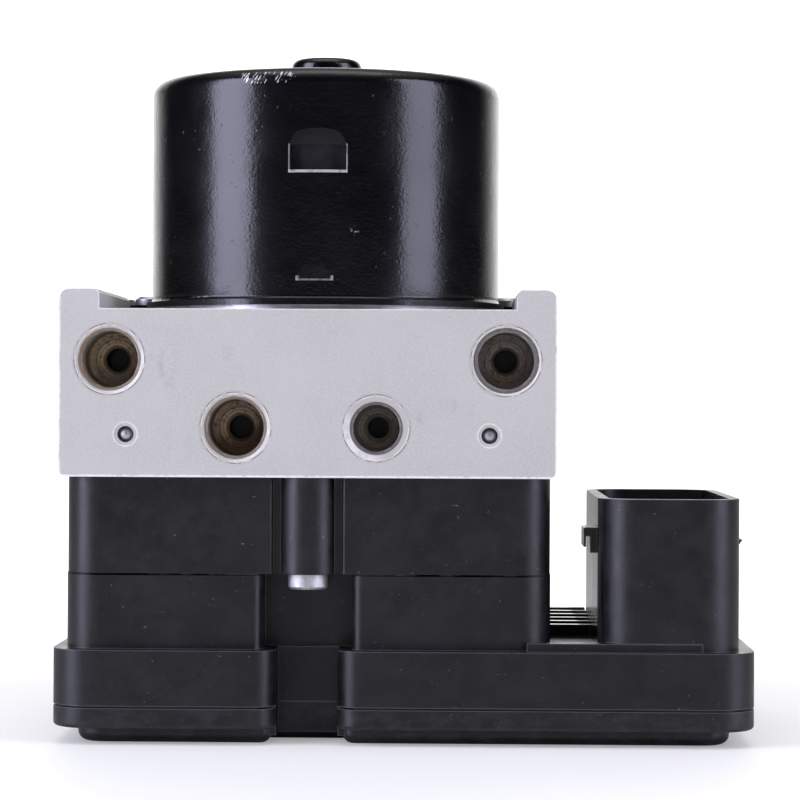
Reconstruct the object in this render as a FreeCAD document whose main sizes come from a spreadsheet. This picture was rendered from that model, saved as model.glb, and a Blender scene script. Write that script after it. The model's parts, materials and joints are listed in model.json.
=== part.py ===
"""ABS brake module: pump motor, valve block and control unit, as a parametric FreeCAD document.

Frame: millimetres, +Z up. X = 0 is the middle of the valve block and Y = 0 the middle of its
depth, the wheel ports face -Y, and Z = 0 is the flat underside that the module rests on.
"""
import FreeCAD, Part

import math
import operator
import os
from types import SimpleNamespace

import Sketcher
from FreeCAD import Placement, Rotation, Vector

SIZES = {
    # Heights, from the floor up.
    "pan_tall": 3.3,
    "rim_tall": 4.1,
    "seam_tall": 0.4,
    "flange_tall": 11.3,
    "lower_tall": 15.2,
    "upper_tall": 19.6,
    "block_tall": 34.0,
    "shoulder_tall": 4.0,
    # Valve block.
    "block_wide": 100.6,
    "block_deep": 94.0,
    "block_round": 1.6,
    "shoulder_wide": 8.2,
    "shoulder_round": 2.2,
    "shoulder_bevel": 0.8,
    "high_port_inset": 10.3,
    "high_port_up": 23.7,
    "low_port_apart": 28.4,
    "low_port_x": -0.3,
    "low_port_up": 10.0,
    "large_port_r": 6.0,
    "small_port_r": 5.0,
    "port_mouth_r": 7.1,
    "small_mouth_r": 6.7,
    "mouth_deep": 0.22,
    "port_thread_deep": 11.5,
    "port_drill_r": 2.2,
    "port_drill_deep": 20.0,
    "master_port_inset": 15.3,
    "master_port_back": 37.0,
    "master_port_deep": 11.0,
    "bracket_apart": 40.0,
    "bracket_down": 8.0,
    "bracket_hole_r": 3.0,
    "bracket_deep": 9.0,
    "cam_bore_r": 10.5,
    "cam_bore_deep": 18.5,
    "pump_down": 11.0,
    "pump_bore_r": 6.0,
    "pump_piston_r": 3.5,
    "pump_piston_inset": 35.0,
    "pump_sleeve_from": 14.0,
    "pump_plug_long": 14.0,
    "valve_bore_r": 6.0,
    "valve_bore_deep": 14.0,
    "valve_foot_r": 7.0,
    "valve_foot_deep": 2.0,
    "coil_clear": 1.5,
    "inlet_row_y": -17.0,
    "outlet_row_y": 5.5,
    "accumulator_apart": 34.0,
    "accumulator_back": 30.0,
    "accumulator_r": 11.0,
    "accumulator_deep": 20.0,
    "lead_bore_back": 18.0,
    "lead_bore_r": 4.0,
    "ball_r": 1.6,
    "ball_inset": 13.6,
    "ball_up": 8.6,
    "stake_ring_r": 2.4,
    # Motor.
    "motor_x": 1.4,
    "can_room": 4.5,
    "can_tall": 48.8,
    "can_wall": 2.0,
    "can_round": 3.2,
    "lip_out": 1.2,
    "lip_tall": 1.2,
    "boss_r": 7.8,
    "boss_draft": 0.3,
    "boss_tall": 5.5,
    "window_wide": 11.7,
    "window_up": 27.6,
    "window_tall": 5.2,
    "scoop_tall": 3.3,
    "dent_x": -0.6,
    "dent_wide": 7.1,
    "dent_up": 5.3,
    "dent_tall": 2.8,
    "dent_deep": 1.6,
    "ear_gap": 1.8,
    "ear_back": 14.0,
    "ear_r": 6.0,
    "ear_room": 1.5,
    "plate_inset": 0.5,
    "plate_thick": 1.2,
    "collar_r": 13.0,
    "register_deep": 2.5,
    "bearing_r": 11.0,
    "bearing_bore_r": 4.0,
    "bearing_tall": 7.0,
    "seal_inset": 5.6,
    "seal_wide": 2.0,
    "seal_deep": 1.5,
    "shaft_r": 4.0,
    "journal_r": 3.0,
    "cam_r": 7.0,
    "cam_throw": 0.75,
    "cam_tall": 7.0,
    "cam_ring_r": 9.4,
    "bush_r": 5.4,
    "core_room": 30.8,
    "core_up": 22.5,
    "slots": 12,
    "slot_wide": 5.0,
    "slot_mouth": 1.8,
    "slot_root_r": 12.0,
    "tooth_tip": 2.0,
    "turn_tall": 3.6,
    "air_gap": 1.0,
    "magnet_thick": 8.4,
    "magnet_room": 26.8,
    "commutator_r": 9.5,
    "commutator_tall": 11.0,
    "commutator_up": 6.6,
    "brush_wide": 6.0,
    "brush_tall": 8.0,
    "brush_long": 10.0,
    "card_thick": 2.0,
    "lead_r": 1.0,
    "lead_apart": 3.6,
    "motor_screw_r": 2.5,
    "motor_screw_deep": 10.0,
    # Control unit.
    "upper_wide": 98.4,
    "upper_deep": 90.0,
    "lower_wide": 98.6,
    "lower_deep": 90.6,
    "body_round": 7.0,
    "housing_wall": 2.5,
    "flange_lap": 2.5,
    "flange_lap_right": 2.9,
    "flange_deep": 98.0,
    "flange_round": 8.5,
    "pan_inset": 4.8,
    "pan_corner": 6.0,
    "pan_round": 2.0,
    "cover_floor": 1.6,
    "rim_round": 0.8,
    "notch_wide": 12.5,
    "notch_deep": 12.6,
    "notch_round": 5.0,
    "bay_wide": 18.2,
    "bay_deeper": 1.5,
    "bay_round": 2.3,
    "pillar_r": 5.8,
    "groove_room": 1.2,
    "groove_deep": 1.7,
    "groove_round": 0.8,
    "side_screw_inset": 6.0,
    "side_screw_y": -5.75,
    "well_r": 4.5,
    "well_wall": 1.3,
    "screw_r": 2.45,
    "screw_head_r": 4.05,
    "screw_head_tall": 3.1,
    "screw_bite": 12.0,
    "plug_gap": 9.6,
    "plug_wide": 28.8,
    "plug_front": 46.6,
    "plug_deep": 70.0,
    "plug_tall": 30.8,
    "plug_wall": 2.2,
    "plug_round": 8.5,
    "plug_floor": 5.6,
    "plinth_tall": 1.7,
    "plinth_out": 0.35,
    "plinth_deep": 4.0,
    "plinth_lap": 20.8,
    "rib_from": -8.0,
    "ribs": 6,
    "rib_thick": 2.0,
    "rib_tall": 2.6,
    "rib_pitch": 10.2,
    "peg_out": 2.7,
    "peg_long": 12.0,
    "peg_up": 19.4,
    "peg_back": 11.6,
    "catch_up": 18.0,
    "catch_out": 2.9,
    "catch_back": 30.6,
    "coil_apart": 2.5,
    "coil_bore_r": 4.6,
    "coil_tall": 15.6,
    "yoke_thick": 0.8,
    "floor_thick": 2.0,
    "board_thick": 1.6,
    "board_rise": 5.1,
    "post_r": 2.6,
    "capacitor_inset": 21.8,
    "capacitor_r": 5.0,
    "capacitor_tall": 14.0,
    "capacitor_pitch": 14.0,
    "pin_wide": 0.8,
    "pin_pitch_x": 4.6,
    "pin_pitch_y": 5.2,
    "pin_columns": 4,
    "pin_rows": 10,
    "pin_long": 20.4,
    # Running clearances.
    "slide_gap": 0.03,
    "fit_gap": 0.05,
    "part_gap": 0.3,
}

OPERATIONS = {"+": operator.add, "-": operator.sub, "*": operator.mul, "/": operator.truediv}


class Term:
    """A size, or a sum worked out from sizes: its value now, and the expression that binds it."""

    def __init__(self, value, text):
        self.value = value
        self.text = text

    def __add__(self, other):
        return combine(self, "+", other)

    def __radd__(self, other):
        return combine(other, "+", self)

    def __sub__(self, other):
        return combine(self, "-", other)

    def __rsub__(self, other):
        return combine(other, "-", self)

    def __mul__(self, other):
        return combine(self, "*", other)

    def __rmul__(self, other):
        return combine(other, "*", self)

    def __truediv__(self, other):
        return combine(self, "/", other)

    def __neg__(self):
        return combine(0, "-", self)


def as_term(thing):
    """A Term stays as it is, and a plain number becomes one."""
    return thing if isinstance(thing, Term) else Term(float(thing), repr(float(thing)))


def combine(left, sign, right):
    """Join two terms into one, in value and in text."""
    left, right = as_term(left), as_term(right)
    value = OPERATIONS[sign](left.value, right.value)
    return Term(value, f"({left.text} {sign} {right.text})")


doc = FreeCAD.newDocument("abs_brake_module")
sheet = doc.addObject("Spreadsheet::Sheet", "Sizes")
for row, (alias, size) in enumerate(SIZES.items(), start=1):
    sheet.set(f"A{row}", alias)
    sheet.set(f"B{row}", str(size))
    sheet.setAlias(f"B{row}", alias)
doc.recompute()
S = SimpleNamespace(**{alias: Term(float(size), f"Sizes.{alias}") for alias, size in SIZES.items()})


# Places that several pieces share.
rim_z = S.pan_tall
seam_z = rim_z + S.rim_tall
flange_z = seam_z + S.seam_tall
lower_z = flange_z + S.flange_tall
upper_z = lower_z + S.lower_tall
block_z = upper_z + S.upper_tall
step_z = block_z + S.block_tall
shoulder_z = step_z + S.shoulder_tall
can_z = step_z + S.plate_thick
pump_z = step_z - S.pump_down
block_front = -S.block_deep / 2
flange_front = -S.flange_deep / 2
screw_y = block_front + S.pillar_r
notch_back = flange_front + S.notch_deep
bay_back = notch_back + S.bay_deeper
bearing_z = step_z - S.register_deep
cam_ring_x = S.cam_ring_r + S.cam_throw + S.part_gap
board_z = flange_z + S.board_rise
port_x = S.block_wide / 2 - S.high_port_inset
master_x = S.block_wide / 2 - S.master_port_inset
ball_x = S.block_wide / 2 - S.ball_inset
side_screw_x = S.upper_wide / 2 - S.side_screw_inset
flange_left = S.lower_wide / 2 + S.flange_lap
plug_left = S.lower_wide / 2 + S.plug_gap
plug_right = plug_left + S.plug_wide
flange_right = plug_right + S.flange_lap_right
valve_pitch = (S.upper_wide / 2 - S.housing_wall - S.coil_clear) / 2
coil_r = (valve_pitch - S.coil_apart) / 2
can_r = S.block_wide / 2 - S.shoulder_wide - S.can_room
can_inner = can_r - S.can_wall
lip_r = can_r + S.lip_out
plate_r = can_r - S.plate_inset
seal_r = can_r - S.seal_inset
ear_x = can_r + S.ear_gap
core_r = can_inner - S.magnet_thick - S.air_gap
core_tall = S.can_tall - S.core_room
magnet_tall = S.can_tall - S.magnet_room
NOTHING = (0, 0, 0)


# Building blocks.
def piece(label, at=NOTHING, turn=None):
    """A new sub-part with its own name and place."""
    body = doc.addObject("PartDesign::Body", label)
    body.Label = label
    place(body, at, turn)
    return body


def place(thing, at, turn=None):
    """Put a thing at a bound place. turn is an axis and an angle."""
    if turn is not None:
        axis, angle = turn
        thing.Placement = Placement(Vector(), Rotation(Vector(*axis), angle))
    for axis, distance in zip("xyz", at):
        thing.setExpression(f"Placement.Base.{axis}", as_term(distance).text)


def draw(body, label, role="XY_Plane", lift=NOTHING):
    """A sketch on one of the body's own planes, shifted within and off that plane by lift."""
    sketch = body.newObject("Sketcher::SketchObject", label)
    plane = [feature for feature in body.Origin.OriginFeatures if feature.Role == role]
    sketch.AttachmentSupport = (plane[0], [""])
    sketch.MapMode = "FlatFace"
    for axis, distance in zip("xyz", lift):
        sketch.setExpression(f"AttachmentOffset.Base.{axis}", as_term(distance).text)
    return sketch


def hold(sketch, part, point, spot):
    """Fix one point of a sketch by two bound distances from the sketch's origin."""
    for kind, axis, distance in (("DistanceX", -2, spot[0]), ("DistanceY", -1, spot[1])):
        distance = as_term(distance)
        if distance.value == 0:
            sketch.addConstraint(Sketcher.Constraint("PointOnObject", part, point, axis))
            continue
        rule = Sketcher.Constraint(kind, -1, 1, part, point, distance.value)
        number = sketch.addConstraint(rule)
        sketch.setExpression(f"Constraints[{number}]", distance.text)


def polygon(sketch, corners):
    """A closed run of straight edges."""
    spots = [Vector(as_term(u).value, as_term(v).value, 0) for u, v in corners]
    first = sketch.GeometryCount
    count = len(spots)
    for index in range(count):
        edge = Part.LineSegment(spots[index], spots[(index + 1) % count])
        sketch.addGeometry(edge, False)
    for index in range(count):
        following = first + (index + 1) % count
        sketch.addConstraint(Sketcher.Constraint("Coincident", first + index, 2, following, 1))
    for index, corner in enumerate(corners):
        hold(sketch, first + index, 1, corner)


def rectangle(sketch, left, right, front, back):
    """A rectangle from its four sides."""
    polygon(sketch, [(left, front), (right, front), (right, back), (left, back)])


def circle(sketch, centre, radius):
    """A circle with a bound centre and radius."""
    spot = Vector(as_term(centre[0]).value, as_term(centre[1]).value, 0)
    radius = as_term(radius)
    part = sketch.addGeometry(Part.Circle(spot, Vector(0, 0, 1), radius.value), False)
    hold(sketch, part, 3, centre)
    number = sketch.addConstraint(Sketcher.Constraint("Radius", part, radius.value))
    sketch.setExpression(f"Constraints[{number}]", radius.text)


def extrude(body, sketch, length, kind="Pad", flip=False):
    """Pad a sketch along its plane's normal, or pocket it against the normal. flip turns it round."""
    before = body.Shape.Volume if body.Tip else 0.0
    feature = body.newObject(f"PartDesign::{kind}", f"{sketch.Label}_{kind.lower()}")
    feature.Profile = sketch
    feature.setExpression("Length", as_term(length).text)
    feature.Reversed = flip
    return settled(body, feature, before)


def pad(body, sketch, length, flip=False):
    return extrude(body, sketch, length, "Pad", flip)


def pocket(body, sketch, length, flip=False):
    return extrude(body, sketch, length, "Pocket", flip)


def settled(body, feature, before):
    """Recompute, and stop if a feature added or cut nothing."""
    doc.recompute()
    if abs(body.Shape.Volume - before) < 1e-6:
        raise RuntimeError(f"{body.Label}: {feature.Label} changed nothing")
    return feature


def revolve(body, sketch, axis, kind="Revolution"):
    """Turn a sketch, as a solid or as a groove, about one of its own axes."""
    before = body.Shape.Volume if body.Tip else 0.0
    feature = body.newObject(f"PartDesign::{kind}", f"{sketch.Label}_{kind.lower()}")
    feature.Profile = sketch
    feature.ReferenceAxis = (sketch, [axis])
    feature.Angle = 360
    return settled(body, feature, before)


def turned(label, profile, at=NOTHING, turn=None):
    """A piece turned about its own Z axis from a profile of (radius, height) corners."""
    body = piece(label, at, turn)
    sketch = draw(body, f"{label}_profile", "XZ_Plane")
    polygon(sketch, profile)
    revolve(body, sketch, "V_Axis")
    return body


def bore(body, label, along, mouth, steps):
    """Cut a stepped round hole. steps lists (depth, radius) from its mouth, and along its direction."""
    x, y, z = mouth
    sign = 1 if along[0] == "+" else -1
    role, lift = ("YZ_Plane", (y, z, x)) if along[1] == "Y" else ("XZ_Plane", (x, z, -as_term(y)))
    sketch = draw(body, f"{label}_profile", role, lift)
    outline = [(-0.5, 0), (-0.5, steps[0][1]), *steps, (steps[-1][0], 0)]
    outline = [(sign * as_term(depth), radius) for depth, radius in outline]
    if along[1] == "Z":
        polygon(sketch, [(radius, depth) for depth, radius in outline])
    else:
        polygon(sketch, outline)
    return revolve(body, sketch, "V_Axis" if along[1] == "Z" else "H_Axis", "Groove")


def mirror(body, features, role="YZ_Plane"):
    """Repeat features on the other side of one of the body's planes."""
    before = body.Shape.Volume
    feature = body.newObject("PartDesign::Mirrored", f"{features[0].Label}_mirrored")
    feature.Originals = features
    plane = [part for part in body.Origin.OriginFeatures if part.Role == role]
    feature.MirrorPlane = (plane[0], [""])
    body.Tip = feature
    return settled(body, feature, before)


def repeat(body, features, role, pitch, count):
    """Repeat features along an axis of the body, pitch apart."""
    before = body.Shape.Volume
    feature = body.newObject("PartDesign::LinearPattern", f"{features[0].Label}_row")
    feature.Originals = features
    axis = [part for part in body.Origin.OriginFeatures if part.Role == role]
    feature.Direction = (axis[0], [""])
    feature.Mode = "Spacing"
    feature.setExpression("Offset", as_term(pitch).text)
    feature.Occurrences = count
    body.Tip = feature
    return settled(body, feature, before)


def around(body, features, count):
    """Repeat features round the body's Z axis."""
    before = body.Shape.Volume
    feature = body.newObject("PartDesign::PolarPattern", f"{features[0].Label}_ring")
    feature.Originals = features
    axis = [part for part in body.Origin.OriginFeatures if part.Role == "Z_Axis"]
    feature.Axis = (axis[0], [""])
    feature.Angle = 360
    feature.Occurrences = count
    body.Tip = feature
    return settled(body, feature, before)


def soften(body, radius, chosen, kind="Fillet"):
    """Fillet or chamfer the edges of the body that chosen picks."""
    base = body.Tip
    names = [f"Edge{number}" for number, edge in enumerate(base.Shape.Edges, start=1) if chosen(edge)]
    if not names:
        raise RuntimeError(f"{body.Label}: no edge to {kind.lower()}")
    feature = body.newObject(f"PartDesign::{kind}", f"{base.Label}_{kind.lower()}")
    feature.Base = (base, names)
    feature.setExpression("Radius" if kind == "Fillet" else "Size", as_term(radius).text)
    doc.recompute()
    return feature


def near(value, *terms):
    """Whether a coordinate equals one of some sizes."""
    return any(abs(value - as_term(item).value) < 1e-3 for item in terms)


def ends(edge):
    return [vertex.Point for vertex in edge.Vertexes]


def upright(edge):
    """Whether an edge runs straight along Z."""
    first, last = ends(edge)[0], ends(edge)[-1]
    return near(first.x, last.x) and near(first.y, last.y) and not near(first.z, last.z)


def flat_at(edge, *levels):
    """Whether all of an edge lies at one of some heights."""
    box = edge.BoundBox
    return near(box.ZMin, *levels) and near(box.ZMax, box.ZMin)


def ring_at(edge, radius, level):
    """Whether an edge is a whole circle of this radius about the body's axis at this height."""
    box = edge.BoundBox
    return flat_at(edge, level) and near(box.XMax, radius) and near(-box.XMin, radius)


# Valve block.
def valve_block():
    """The aluminium block: milled shoulders, ports, pump and valve bores."""
    body = piece("valve_block")
    half, inner = S.block_wide / 2, S.block_wide / 2 - S.shoulder_wide
    outline = draw(body, "block_outline", "XZ_Plane", (0, 0, block_front))
    corners = [
        (half, block_z),
        (half, shoulder_z),
        (inner, shoulder_z),
        (inner, step_z),
    ]
    polygon(outline, corners + [(-as_term(u), v) for u, v in reversed(corners)])
    pad(body, outline, S.block_deep)
    soften(body, S.shoulder_round, lambda edge: along_y(edge, half, shoulder_z))
    soften(body, S.block_round, lambda edge: along_y(edge, half, block_z))
    soften(body, S.shoulder_bevel, lambda edge: along_y(edge, inner, shoulder_z), "Chamfer")

    ear_rooms = draw(body, "ear_rooms", "XY_Plane", (0, 0, step_z))
    for sign in (-1, 1):
        circle(ear_rooms, (S.motor_x + sign * ear_x, S.ear_back), S.ear_r + S.ear_room)
    pocket(body, ear_rooms, S.shoulder_tall + 1, flip=True)

    thread = S.port_thread_deep

    def port(label, across, port_up, radius, mouth):
        return bore(body, label, "+Y", (across, block_front, block_z + port_up), [
            (0, mouth),
            (S.mouth_deep, radius),
            (thread, radius),
            (thread + radius - S.port_drill_r, S.port_drill_r),
            (S.port_drill_deep, S.port_drill_r),
        ])

    left, right = S.low_port_x - S.low_port_apart / 2, S.low_port_x + S.low_port_apart / 2
    high = port("high_port", port_x, S.high_port_up, S.large_port_r, S.port_mouth_r)
    mirror(body, [high])
    port("low_port_left", left, S.low_port_up, S.large_port_r, S.port_mouth_r)
    port("low_port_right", right, S.low_port_up, S.small_port_r, S.small_mouth_r)
    master = bore(body, "master_port", "-Z", (master_x, S.master_port_back, step_z), [
        (0, S.port_mouth_r),
        (S.mouth_deep, S.large_port_r),
        (S.master_port_deep, S.large_port_r),
        (S.master_port_deep + 2, S.port_drill_r),
        (S.master_port_deep + 5, S.port_drill_r),
    ])
    mirror(body, [master])
    bracket = bore(body, "bracket_hole", "-Y", (S.bracket_apart / 2, -block_front, step_z - S.bracket_down), [
        (0, S.bracket_hole_r + 0.6),
        (0.6, S.bracket_hole_r),
        (S.bracket_deep, S.bracket_hole_r),
        (S.bracket_deep + 1.5, 0.4),
    ])
    mirror(body, [bracket])
    plug_hole = bore(body, "ball_hole", "+Y", (ball_x, block_front, block_z + S.ball_up), [
        (0, S.stake_ring_r),
        (0.25, S.stake_ring_r),
        (0.25, S.ball_r),
        (4 * S.ball_r, S.ball_r),
        (4 * S.ball_r + 0.5, S.ball_r / 2),
        (8 * S.ball_r, S.ball_r / 2),
    ])
    mirror(body, [plug_hole])

    bore(body, "cam_bore", "-Z", (S.motor_x, 0, step_z), [
        (0, S.collar_r + S.fit_gap),
        (S.register_deep, S.collar_r + S.fit_gap),
        (S.register_deep, S.cam_bore_r),
        (S.cam_bore_deep, S.cam_bore_r),
    ])
    for side, along in ((-1, "+X"), (1, "-X")):
        bore(body, f"pump_bore_{side + 1}", along, (side * half, 0, pump_z), [
            (0, S.pump_bore_r + 1.0),
            (1.0, S.pump_bore_r),
            (half - S.cam_bore_r + 2 * S.motor_x, S.pump_bore_r),
        ])
    seal_groove = draw(body, "seal_groove", "XY_Plane", (0, 0, step_z))
    circle(seal_groove, (S.motor_x, 0), seal_r + S.seal_wide)
    circle(seal_groove, (S.motor_x, 0), seal_r)
    pocket(body, seal_groove, S.seal_deep)
    for sign in (-1, 1):
        bore(body, f"motor_screw_hole_{sign + 1}", "-Z", (S.motor_x + sign * ear_x, S.ear_back, step_z), [
            (0, S.motor_screw_r + S.fit_gap),
            (S.motor_screw_deep, S.motor_screw_r + S.fit_gap),
        ])
    lead_bore = draw(body, "lead_bore", "XY_Plane", (0, 0, block_z))
    circle(lead_bore, (S.motor_x, S.lead_bore_back), S.lead_bore_r)
    pocket(body, lead_bore, S.block_tall, flip=True)

    feet = draw(body, "valve_feet", "XY_Plane", (0, 0, block_z))
    seats = draw(body, "valve_bores", "XY_Plane", (0, 0, block_z + S.valve_foot_deep))
    for place_x, place_y in valve_places():
        circle(feet, (place_x, place_y), S.valve_foot_r + S.fit_gap)
        circle(seats, (place_x, place_y), S.valve_bore_r + S.fit_gap)
    pocket(body, feet, S.valve_foot_deep, flip=True)
    pocket(body, seats, S.valve_bore_deep - S.valve_foot_deep, flip=True)

    chambers = draw(body, "accumulator_bores", "XY_Plane", (0, 0, block_z))
    for sign in (-1, 1):
        circle(chambers, (sign * S.accumulator_apart / 2, S.accumulator_back), S.accumulator_r)
    pocket(body, chambers, S.accumulator_deep, flip=True)
    screw_holes = draw(body, "screw_holes", "XY_Plane", (0, 0, block_z))
    for spot in screw_places():
        circle(screw_holes, spot, S.screw_r + S.fit_gap)
    pocket(body, screw_holes, S.screw_bite + 1, flip=True)
    return body


def along_y(edge, side, level):
    """Whether an edge runs the whole depth at plus or minus side and at this height."""
    box = edge.BoundBox
    whole = box.YLength > S.block_deep.value / 2
    return whole and near(abs(box.XMin), side) and near(box.XMax, box.XMin) and flat_at(edge, level)


def valve_places():
    """Centres of the eight valves, four in a row."""
    columns = [valve_pitch * step for step in (-1.5, -0.5, 0.5, 1.5)]
    return [(column, line) for line in (S.inlet_row_y, S.outlet_row_y) for column in columns]


def screw_places():
    """Centres of the four screws that hold the control unit to the block."""
    return [
        (0, screw_y),
        (0, -screw_y),
        (side_screw_x, S.side_screw_y),
        (-side_screw_x, S.side_screw_y),
    ]


def small_parts_of_block():
    """Ball plugs, valves, accumulators and pump elements."""
    radius = S.ball_r - 0.02
    balls = piece("sealing_balls", (-ball_x, block_front + 0.35, block_z + S.ball_up), ((1, 0, 0), -90))
    sketch = draw(balls, "ball_profile", "XZ_Plane")
    polygon(sketch, [
        (0, 0),
        (radius * 0.55, radius * 0.16),
        (radius * 0.87, radius * 0.5),
        (radius, radius),
        (radius * 0.87, radius * 1.5),
        (radius * 0.5, radius * 1.87),
        (0, radius * 2),
    ])
    ball = revolve(balls, sketch, "V_Axis")
    repeat(balls, [ball], "X_Axis", 2 * ball_x, 2)

    shank_tall, dome_tall = S.valve_bore_deep - S.valve_foot_deep, S.coil_tall - 1
    dome_r = S.coil_bore_r - S.fit_gap * 2
    for label, row_y, dome in (
        ("inlet_valves", S.inlet_row_y, dome_r),
        ("outlet_valves", S.outlet_row_y, dome_r - 0.4),
    ):
        valves = turned(label, [
            (0, -dome_tall),
            (dome - 1.2, -dome_tall),
            (dome, -dome_tall + 1.2),
            (dome, 0),
            (S.valve_foot_r, 0),
            (S.valve_foot_r, S.valve_foot_deep),
            (S.valve_bore_r, S.valve_foot_deep),
            (S.valve_bore_r, shank_tall - 2),
            (S.valve_bore_r - 1.5, shank_tall),
            (S.valve_bore_r - 1.5, shank_tall + 1.6),
            (0, shank_tall + 1.6),
        ], (valve_pitch * -1.5, row_y, block_z))
        repeat(valves, [valves.Tip], "X_Axis", valve_pitch, 4)

    cap_thick, piston_tall, top_room = 2.4, 7.5, 0.4
    piston_z = block_z + S.accumulator_deep - top_room
    for side, sign in (("left", -1), ("right", 1)):
        centre = (sign * S.accumulator_apart / 2, S.accumulator_back)
        turned(f"accumulator_piston_{side}", [
            (0, -2.5),
            (S.accumulator_r - 2.4, -2.5),
            (S.accumulator_r - 2.4, -piston_tall),
            (S.accumulator_r - S.slide_gap, -piston_tall),
            (S.accumulator_r - S.slide_gap, -4.6),
            (S.accumulator_r - 1.6, -4.6),
            (S.accumulator_r - 1.6, -2.6),
            (S.accumulator_r - S.slide_gap, -2.6),
            (S.accumulator_r - S.slide_gap, -1.0),
            (S.accumulator_r - 1.0, 0),
            (0, 0),
        ], (*centre, piston_z))
        turned(f"accumulator_seal_{side}", [
            (S.accumulator_r - 1.55, -4.55),
            (S.accumulator_r - 0.04, -4.3),
            (S.accumulator_r - 0.04, -2.9),
            (S.accumulator_r - 1.55, -2.65),
        ], (*centre, piston_z))
        coil_spring(
            f"accumulator_spring_{side}",
            (*centre, block_z + cap_thick),
            S.accumulator_r - 5.2,
            S.accumulator_deep - top_room - 2.5 - cap_thick,
            wire=0.7,
            turns=4,
        )
    caps = turned("accumulator_caps", [
        (0, 0),
        (S.accumulator_r - 0.02, 0),
        (S.accumulator_r - 0.02, cap_thick),
        (S.accumulator_r - 1.5, cap_thick),
        (S.accumulator_r - 1.5, 0.9),
        (0, 0.9),
    ], (-S.accumulator_apart / 2, S.accumulator_back, block_z))
    repeat(caps, [caps.Tip], "X_Axis", S.accumulator_apart, 2)


def coil_spring(label, at, radius, length, wire, turns, turn=None):
    """A helical spring, wound round the piece's Z axis from a four-sided wire."""
    body = piece(label, at, turn)
    sketch = draw(body, f"{label}_wire", "XZ_Plane")
    polygon(sketch, [
        (radius, 0),
        (as_term(radius) + wire, wire),
        (radius, 2 * wire),
        (as_term(radius) - wire, wire),
    ])
    helix = body.newObject("PartDesign::AdditiveHelix", f"{label}_helix")
    helix.Profile = sketch
    helix.ReferenceAxis = (sketch, ["V_Axis"])
    helix.Mode = "height-turns-angle"
    height = as_term(length) - 2 * wire
    helix.setExpression("Height", height.text)
    helix.Turns = turns
    doc.recompute()
    return body


def pump(side, sign):
    """One radial pump element: piston, sleeve, springs, outlet ball and end plug."""
    outward = ((0, 1, 0), 90 * sign)
    half = S.block_wide / 2
    foot = cam_ring_x + sign * S.motor_x
    piston_r, piston_long = S.pump_piston_r, half - S.pump_piston_inset
    sleeve_from, plug_long = S.pump_sleeve_from, S.pump_plug_long
    sleeve_to = half - plug_long - 2
    at = (0, 0, pump_z)
    turned(f"pump_piston_{side}", [
        (0, foot),
        (piston_r - 1.0, foot),
        (piston_r, foot + 0.8),
        (piston_r, foot + piston_long - 0.6),
        (piston_r - 0.6, foot + piston_long),
        (0, foot + piston_long),
    ], at, outward)
    back = foot + piston_long + S.cam_throw + S.fit_gap
    turned(f"pump_sleeve_{side}", [
        (piston_r + S.slide_gap, sleeve_from),
        (S.pump_bore_r - 0.02, sleeve_from),
        (S.pump_bore_r - 0.02, sleeve_to),
        (1.0, sleeve_to),
        (1.0, sleeve_to - 1.5),
        (piston_r + S.slide_gap, sleeve_to - 1.5),
    ], at, outward)
    spring_from = as_term(back)
    coil_spring(
        f"pump_spring_{side}",
        (sign * spring_from, 0, pump_z),
        2.2,
        as_term(sleeve_to - 1.5) - spring_from,
        wire=0.35,
        turns=4,
        turn=outward,
    )
    turned(f"pump_plug_{side}", [
        (0, half),
        (S.pump_bore_r - 0.9, half),
        (S.pump_bore_r - 0.02, half - 0.9),
        (S.pump_bore_r - 0.02, half - plug_long),
        (2.6, half - plug_long),
        (2.6, half - plug_long + 8),
        (0, half - plug_long + 8),
    ], at, outward)
    turned(f"pump_outlet_valve_{side}", [
        (0, sleeve_to + 0.1),
        (1.6, sleeve_to + 0.1),
        (1.6, sleeve_to + 1.9),
        (2.3, sleeve_to + 2.0),
        (2.3, half - plug_long + 7.9),
        (0, half - plug_long + 7.9),
    ], at, outward)


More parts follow.
